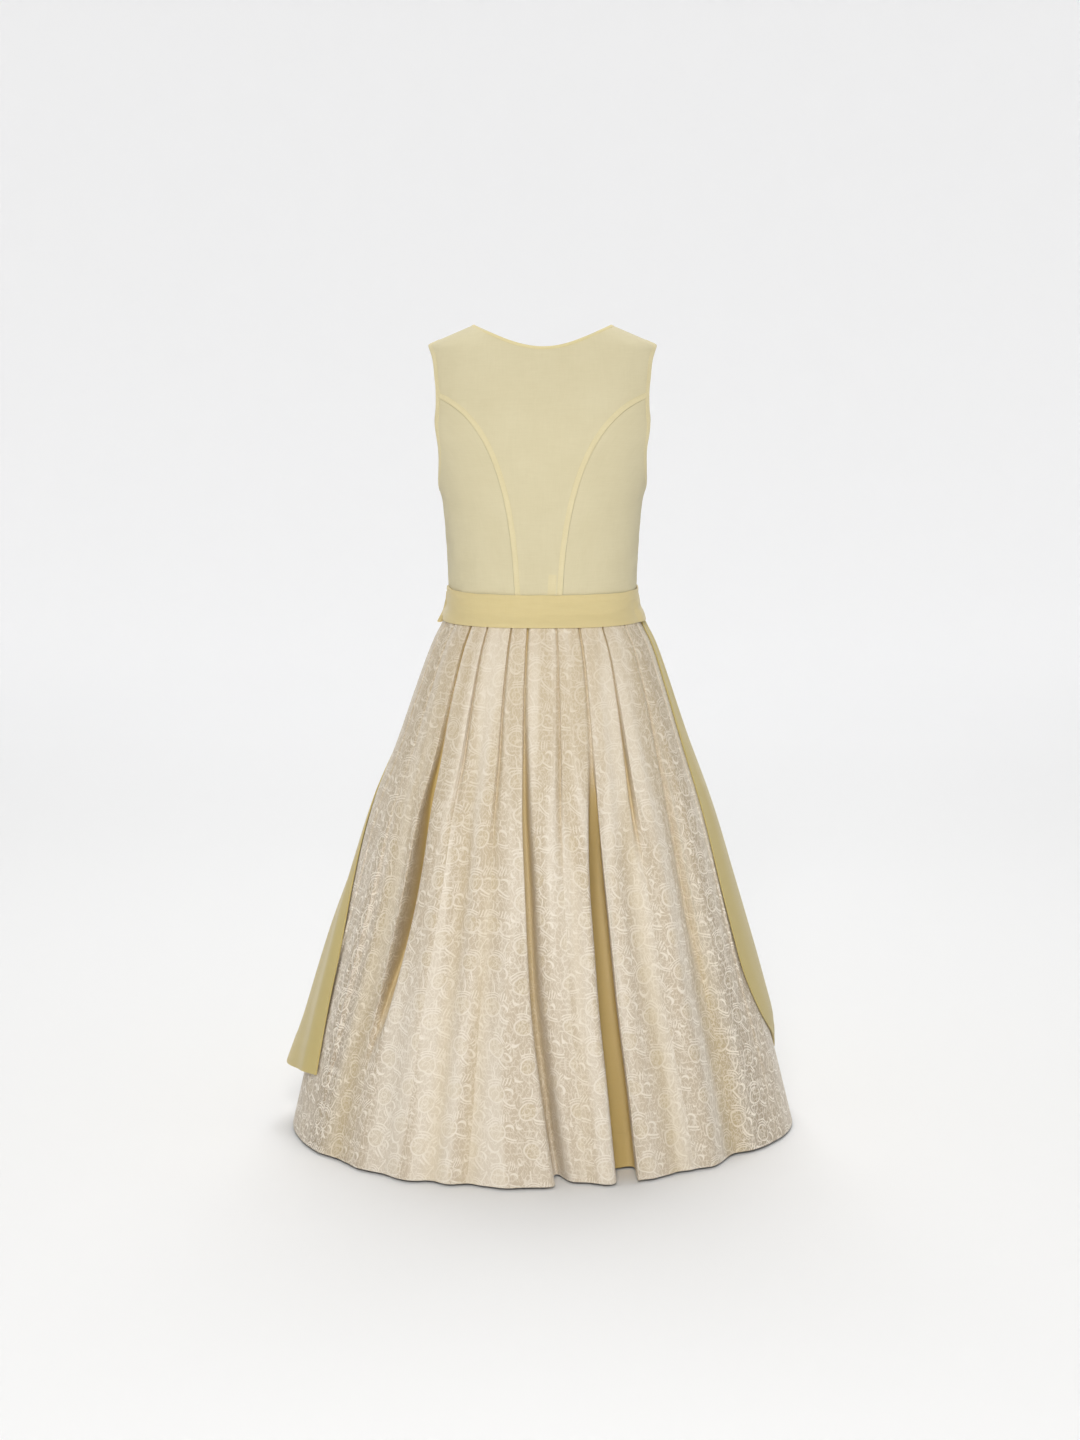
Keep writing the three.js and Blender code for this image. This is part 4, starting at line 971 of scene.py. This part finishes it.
def soft_folds(angle, down, flutes, seed):
    """How far the cloth stands off its pleated shape, and a mark of the shade painted in its hollows: both
    die away under the apron.
    """
    down, reach = down[:, None], np.radians(angle) * 200
    waves = SOFT["waves"] * smooth(down * 1.4) * soft_noise(reach / 120, down * 1.2, seed, 2)
    drape = SOFT["drape"] * smooth(down * 3) * soft_noise(reach / 42, down, seed + 1, 2)
    hollow = 0 * drape
    for at, drift, half, height in flutes:
        place = (angle - at - drift * down**2) / half
        flute = height * smooth(down * 1.4) * np.exp(-(place**2))
        drape, hollow = drape + flute, hollow - flute
    gathered = 1 - smooth(down / SOFT["gathered_to"])
    gathers = SOFT["gathers"] * gathered * np.sin(reach * 0.5 + 2 * np.sin(reach / 31))
    under = 1 - smooth((UNDER_APRON["from"] - np.abs(angle)) / UNDER_APRON["over"])
    moved = waves + drape + gathers
    return mix(moved, -UNDER_APRON["kept"] * np.abs(moved), under), 0.03 * hollow * (1 - under)


def panel_across(length, ends):
    """The cloth's u at the left and the right of each column of quads: each panel between two floors measures
    from its own middle, and shows its own part of the pattern."""
    left, right = length.copy(), np.roll(length, -1, axis=1)
    for k, (a, b) in enumerate(zip(ends, ends[1:])):
        middle = (length[:, a] + length[:, b])[:, None] / 2
        shift = PATTERN_STEP * k + PATTERN_SWING * math.sin(2.1 * k)
        left[:, a:b] += shift - middle
        right[:, a:b] += shift - middle
    return left, right


def add_skirt_width(name, pleats, flutes, span, faces, rows, seed, samples=2):
    """A pleated width: each row is a B-spline on the control points of its faces and pleats, moved off the
    skirt's outline, with slow undulations, and small gathers by the waist."""
    z = WAIST_Z - 0.35 + (HEM_Z - WAIST_Z + 0.35) * np.linspace(0, 1, rows) ** 1.15
    down = (z - z[0]) / (HEM_Z - z[0])
    controls, floors = skirt_controls(pleats, span, faces, down, 1 / np.radians(along(SKIRT, 2, z)))
    spline = b_spline(controls, samples)
    angle, off, fold = spline[..., 0], spline[..., 1], spline[..., 2]
    moved, hollow = soft_folds(angle, down, flutes, seed)
    outer = off_skirt(angle, z[:, None], off + moved)
    inner = thicken(outer, -WALL["skirt"])
    inner[..., 2] = outer[..., 2]
    length = arc(outer)
    fall = np.concatenate([[0], np.hypot(np.diff(z), np.diff(along(SKIRT, 2, z))).cumsum()])
    v = np.broadcast_to(fall[:, None] + WAIST_Z - z[0], length.shape)
    u = panel_across(length, [0] + [f * samples for f in floors] + [length.shape[1] - 1])
    # aslant marks where side shade is painted, less near the apron's edges
    aslant = turned_away(angle, z[:, None]) * (1 - 0.6 * smooth((np.abs(angle) - 62) / 9))
    marks = {"fold": clamp(fold + hollow), "aslant": aslant}
    cloth = shell(name + "_cloth", inner, outer, u, v, brocade, False, 75, **marks)
    finish_piece(cloth, "skirt_brocade", name)
    return cloth, outer


def evened(normal):
    """Directions averaged twice with their neighbours down the first axis, so that tight bends stay clear."""
    for _ in range(2):
        normal[1:-1] = (normal[:-2] + 2 * normal[1:-1] + normal[2:]) / 4
    return unit(normal)


def thicken(grid, amount):
    """The grid moved along its own evened normals."""
    normal = unit(np.cross(np.gradient(grid, axis=1), np.gradient(grid, axis=0)))
    normal = evened(normal.swapaxes(0, 1)).swapaxes(0, 1)
    outward = (normal[..., :2] * grid[..., :2]).sum(-1)
    return grid + normal * amount * (1 if np.median(outward) > 0 else -1)


# ---------------------------------------------------------------- the apron
def apron_width(down):
    return along(APRON_EDGE, 2, down) - along(APRON_EDGE, 1, down)


def apron_swell(across, down):
    """The swell at the apron's left corner: a squared sine over the first degrees from the left edge."""
    from_left = across * apron_width(down)
    return np.sin(math.pi * clamp(from_left / APRON_SIDE["swell_width"])) ** 2


def apron_off(across, down):
    """How far the apron stands off the skirt: gathers that fade downwards and slow waves that grow, both of
    which die away at the side edges, which lie on the skirt, and the swell at the left corner."""
    free = smooth(from_ends(across) * apron_width(down) / APRON_SIDE["edge_width"] + 0.2)
    ripples = 1 + np.cos(2 * math.pi * APRON["gathers"] * across)
    gathers = APRON["gather"] * (1 - smooth((down - 0.1) / 0.5)) * ripples
    phase = 2 * math.pi * (APRON["waves"] * across + 0.35 * np.sin(5 * across))
    wave = APRON["wave"] * smooth((down - 0.05) / 0.8) * (1 + np.cos(phase)) * 0.5
    rise = (APRON["hem_clear"] - APRON["clear"]) * smooth(down * 1.3 - 0.3)
    tucks = np.sin(across * 330 + 3 * np.sin(across * 41))
    fine = 0.35 * (1 - smooth(down / 0.5)) * tucks * smooth(down / 0.02)
    soft = 0.8 * smooth(down * 3) * (1 + soft_noise(across * 9, down * 2, 31, 2))
    lying = APRON["clear"] * mix(APRON["edge_clear"], 1, free) + free * (rise + gathers + wave + fine + soft)
    return lying + apron_swell(across, down) * along(APRON_EDGE, 3, down)


def add_apron():
    """The apron: a table gives its edges' angles, it lies off the skirt's outline, and its hem is doubled."""
    down = np.linspace(0, 1, 130)[:, None]
    across = np.linspace(0, 1, 300)[None]
    z = APRON_TOP_Z + (APRON_HEM_Z - APRON_TOP_Z) * down
    angle = mix(along(APRON_EDGE, 1, down), along(APRON_EDGE, 2, down), across)
    off = apron_off(across, down)
    inner = off_skirt(angle, z, off)
    hem = APRON["hem_lift"] * smooth((APRON_HEM_Z + APRON["hem"] - z) / 1.5)
    side = APRON["side_lift"] * smooth((APRON["side_hem"] - from_ends(across) * APRON["width"]) / 1.5)
    outer = off_skirt(angle, z, off + WALL["apron"] + hem + side)
    drop = APRON_SIDE["drop"] * apron_swell(across, down) * smooth(down * 3 - 2)
    inner[..., 2] -= drop
    outer[..., 2] -= drop
    u = arc(outer, 150)
    v = np.broadcast_to((APRON_TOP_Z - z) * 1.06, u.shape)
    # aslant marks where side shade is painted on the apron
    cloth = shell("apron_cloth", inner, outer, u, v, cotton, aslant=turned_away(angle, z))
    finish_piece(cloth, "apron_cotton", "apron_panel")
    return cloth, outer


def band_point(angle, z, extra):
    """The band: on the bodice above the waist, on the skirt and apron below it, and eased between them."""
    angle, z = np.broadcast_arrays(np.asarray(angle, float), np.asarray(z, float))
    turned = angle % 360
    left, right = APRON_EDGE[0][1:3]
    over = smooth(1.3 + (turned - left) / BAND["ramp"]) * smooth(1.3 + (right - turned) / BAND["ramp"])
    off = BAND["clear"] + BAND["over"] * over * smooth((BAND["top"] - z) / 32) + extra
    low = off_skirt(angle, z, off)
    out = torso_out(np.radians(angle), z)
    out[..., 2] = 0
    high = torso(np.radians(angle), z) + unit(out) * (WALL["bodice"] + off)[..., None]
    waist = off_skirt(angle, np.full_like(z, WAIST_Z), off)
    waist[..., 2] = z
    high = mix(high, waist, smooth((BAND["top"] - z) / (BAND["top"] - WAIST_Z))[..., None])
    return np.where((z < WAIST_Z)[..., None], low, high)


def band_creases(angle, z):
    """Level creases that a tied band pulls into, and a rolled lower and upper edge."""
    share = (z - BAND["bottom"]) / (BAND["top"] - BAND["bottom"])
    reach = angle * 1.7
    level = np.sin(share * 14 + 1.4 * np.sin(reach / 46))
    creases = 0.42 * soft_noise(reach / 70, z / 9, 41, 3) + 0.25 * level
    edge = from_ends(share)
    return creases * np.minimum(1, edge * 6) - 0.5 * (1 - smooth(edge * 14))


def add_band():
    """The band all round the waist: a closed ring of 360 columns, with a small peak at the left side."""
    angle = np.linspace(0, 360, 361)[None, :-1]
    z = np.linspace(BAND["bottom"], BAND["top"], 26)[:, None]
    middle, rise, width = BAND["peak"]
    lift = rise * np.exp(-(((angle - middle) / width) ** 2)) * smooth((z - WAIST_Z) / (BAND["top"] - WAIST_Z))
    lift = lift + 0.5 * soft_noise(angle / 40, 0 * z, 43, 2) * smooth((z - WAIST_Z) / 18)
    inner, outer = band_point(angle, z, 0 * z), band_point(angle, z, WALL["band"] + band_creases(angle, z))
    inner[..., 2] += lift
    outer[..., 2] += lift
    run = arc(np.concatenate([outer, outer[:, :1]], 1))
    v = np.broadcast_to(-z, outer.shape[:2])
    cloth = shell("apron_band_cloth", inner, outer, (run[:, :-1], run[:, 1:]), v, cotton, ring=True)
    finish_piece(cloth, "apron_cotton", "apron_band")
    return cloth, outer


# ---------------------------------------------------------------- the bow
def ribbon(name, middle_surface, lengthwise, widthwise, width, seed):
    """A ribbon from its middle surface: two walls, half a thickness to each side."""
    s, w = np.linspace(0, 1, lengthwise)[:, None], np.linspace(0, 1, widthwise)[None]
    grid = middle_surface(s, w)
    normal = evened(unit(np.cross(np.gradient(grid, axis=0), np.gradient(grid, axis=1))))
    half = WALL["ribbon"] / 2
    u = np.broadcast_to(w * width, grid.shape[:2])
    v = np.broadcast_to(line_length(grid[:, widthwise // 2])[:, None] + seed, grid.shape[:2])
    cloth = shell(name + "_cloth", grid - normal * half, grid + normal * half, u, v, cotton)
    finish_piece(cloth, "apron_cotton", name)
    return cloth, grid


def add_bow():
    """The knot, a superellipsoid seated on the band, two loops that swing out and back, and two tails."""
    found = []
    base, above, below = (band_point(BOW_ANGLE, KNOT["z"] + rise, WALL["band"]) for rise in (0, 10, -10))
    up = unit(above - below)
    side = unit(np.cross(up, base * [1, 1, 0]))
    out = np.cross(side, up)
    wide, high, deep = KNOT["half"]
    around, rise = np.linspace(0, 2 * math.pi, 73)[None, :-1], np.linspace(-1, 1, 35)[:, None] * math.pi / 2
    p = 2 / KNOT["power"]
    pinch = 1 - 0.05 * np.abs(np.sin(around * 4.5 + 0.6 * np.sin(rise * 2))) * np.cos(rise) ** 0.5
    flat = np.cos(rise) ** p * pinch
    grid = (
        (wide * flat * power(np.cos(around), p))[..., None] * side
        + (high * power(np.sin(rise), p) + 0 * around)[..., None] * up
        + (deep * flat * power(np.sin(around), p))[..., None] * out
    ) + base + out * (deep + KNOT["seat"])
    rows, n = grid.shape[:2]
    quads = grid_faces(rows, n, True)
    u, v = np.broadcast_to(around * 9, (rows, n)), np.broadcast_to(rise * 14, (rows, n))
    uv = np.stack([u.ravel()[quads], v.ravel()[quads]], -1).reshape(-1, 2)
    knot = add_mesh("bow_knot_cloth", grid.reshape(-1, 3), quads, uv, cotton, 0)
    finish_piece(knot, "apron_cotton", "bow_knot")
    found.append((knot, grid))

    for name, swing, start in LOOPS:
        def loop(s, w, swing=swing, start=start):
            out, turn = np.sin(math.pi * s), np.cos(math.pi * s)
            half = mix(LOOP["neck"], LOOP["half"], np.abs(out) ** 0.6)
            z = KNOT["z"] - LOOP["droop"] * out + half * (2 * w - 1)
            off = LOOP["middle"] - 1.5 * turn - LOOP["belly"] / 2 * np.abs(out) ** 0.7 * turn
            folds = 0.9 * np.sin(w * 15 + swing) * (1 - smooth(out * 1.2)) + 0.5 * np.sin(w * 9 + 2 * s) * out
            angle = BOW_ANGLE + swing * (start + LOOP["reach"] * out)
            point = off_skirt(angle, np.minimum(z, WAIST_Z), off + folds)
            point[..., 2] = z
            return point

        found.append(ribbon(name, loop, 90, 22, 36, swing * 60))
    for name, *shape in TAILS:
        swing = shape[0]

        def tail(s, w, shape=shape):
            swing, top_angle, end_angle, end_z, top_lift, lift = shape
            z = mix(TAIL["top"], end_z + 10 * swing * (w - 0.5), s)
            half = np.degrees(mix(TAIL["top_half"], TAIL["half"], smooth(s * 2.2)) / along(SKIRT, 3, z))
            angle = BOW_ANGLE + swing * mix(top_angle, end_angle, smooth(s)) + half * (2 * w - 1)
            wave = TAIL["wave"] * smooth(s * 3) * (1 + np.sin(9 * s + 3 * w + swing))
            folds = 0.8 * np.sin(w * 13 + swing) * (1 - smooth(s * 2.5)) * smooth(s * 12)
            off = mix(TAIL["top_off"] + top_lift, TAIL["off"] + lift, smooth(s * 5))
            return off_skirt(angle, z, off + wave + folds)

        found.append(ribbon(name, tail, 70, 22, 36, swing * 90))
    return found


# ---------------------------------------------------------------- all the pieces
bodice_sheets = []
add_bodice()
add_buttons()
BACK_SPAN, FRONT_SPAN = (-SIDE_SEAM, SIDE_SEAM), (SIDE_SEAM, 360 - SIDE_SEAM)
skirt_back, back_grid = add_skirt_width("skirt_back", BACK_PLEATS, FLUTES, BACK_SPAN, 5, 104, 51)
skirt_front, front_grid = add_skirt_width("skirt_front", FRONT_PLEATS, [], FRONT_SPAN, 4, 80, 61)
apron, apron_grid = add_apron()
band, band_grid = add_band()
bow = add_bow()

for panel, grid, trims in bodice_sheets:
    size = np.ptp(grid.reshape(-1, 3), axis=0)
    wide = math.hypot(size[0], size[1]) / 1000
    declare(panel, grid, wide * 1.02, size[2] / 1000 * 1.02)
wide, tall = arc(back_grid)[:, -1].max() / 1000, 0.66
declare(skirt_back, back_grid, wide, tall)
declare(skirt_front, front_grid, arc(front_grid)[:, -1].max() / 1000, tall)
declare(apron, apron_grid, arc(apron_grid)[:, -1].max() / 1000, 0.58)
run = np.linalg.norm(np.diff(band_grid, axis=1, append=band_grid[:, :1]), axis=-1).sum(1).max() / 1000
declare(band, band_grid, run, 0.042)
for piece, grid in bow[1:]:
    lengths = np.linalg.norm(np.diff(grid, axis=0), axis=-1).sum(0).max() / 1000
    declare(piece, grid, arc(grid)[:, -1].max() / 1000, lengths)


# ---------------------------------------------------------------- floor, light and camera
def stage_sheet():
    """A pale round floor that sweeps up into a wall: a profile of radius and height, turned about Z."""
    level, floor_radius, sweep, top = -0.9335, 3.4, 1.6, 2.6
    turn = np.linspace(0, math.pi / 2, 25)
    radius = np.concatenate([[0.001, 1.0, 2.2], floor_radius + sweep * np.sin(turn), [floor_radius + sweep]])
    height = np.concatenate([[level] * 3, level + sweep * (1 - np.cos(turn)), [top]])
    around = np.linspace(0, 2 * math.pi, 97)[:-1]
    points = stack(radius[:, None] * np.cos(around), radius[:, None] * np.sin(around), height[:, None]) * 1000
    faces = grid_faces(len(radius), len(around), True)
    sheet = add_mesh("studio_sweep", points.reshape(-1, 3), faces, None, None, 0)
    material, shader, _, _ = new_material("studio_paper")
    place = on_object(material)
    y = place.made("ShaderNodeSeparateXYZ", {0: place}, 1)
    glow = y.step(-1.5, -3.8).between((0, 0, 0, 1), (0.16, 0.16, 0.165, 1))
    join(shader, Base_Color=(0.86, 0.86, 0.86, 1), Roughness=0.9, Specular_IOR_Level=0.1)
    join(shader, Emission_Color=glow, Emission_Strength=1.0)
    sheet.data.materials.append(material)
    return sheet


def add_light(name, kind, place, aim, energy, size, colour=(1, 1, 1)):
    light = bpy.data.lights.new(name, kind)
    light.energy, light.color = energy, colour
    light.shape, light.size, light.size_y = "RECTANGLE", *size
    thing = put(name, light)
    thing.location = place
    thing.rotation_euler = mathutils.Vector(np.subtract(aim, place)).to_track_quat("-Z", "Y").to_euler()
    return thing


stage_sheet()
add_light("key", "AREA", (0.15, 3.8, 1.7), (0, 0, -0.45), 90, (1.2, 1.2), (1, 0.985, 0.96))
add_light("top", "AREA", (0, -1.6, 3.0), (0, 0, -0.9), 90, (2.4, 2.0))

world = bpy.data.worlds.new("studio")
bpy.context.scene.world = world
world.use_nodes = True
world.node_tree.nodes["Background"].inputs["Color"].default_value = (0.98, 0.99, 1, 1)
world.node_tree.nodes["Background"].inputs["Strength"].default_value = 0.3

camera = put("camera", bpy.data.cameras.new("camera"))
camera.location = (0.0029, 3.300, 0.100)
camera.rotation_euler = (math.radians(80.5), 0, math.radians(180))
camera.data.lens, camera.data.sensor_width = 72.25, 36
bpy.context.scene.camera = camera
bpy.context.scene.view_settings.view_transform = "Standard"
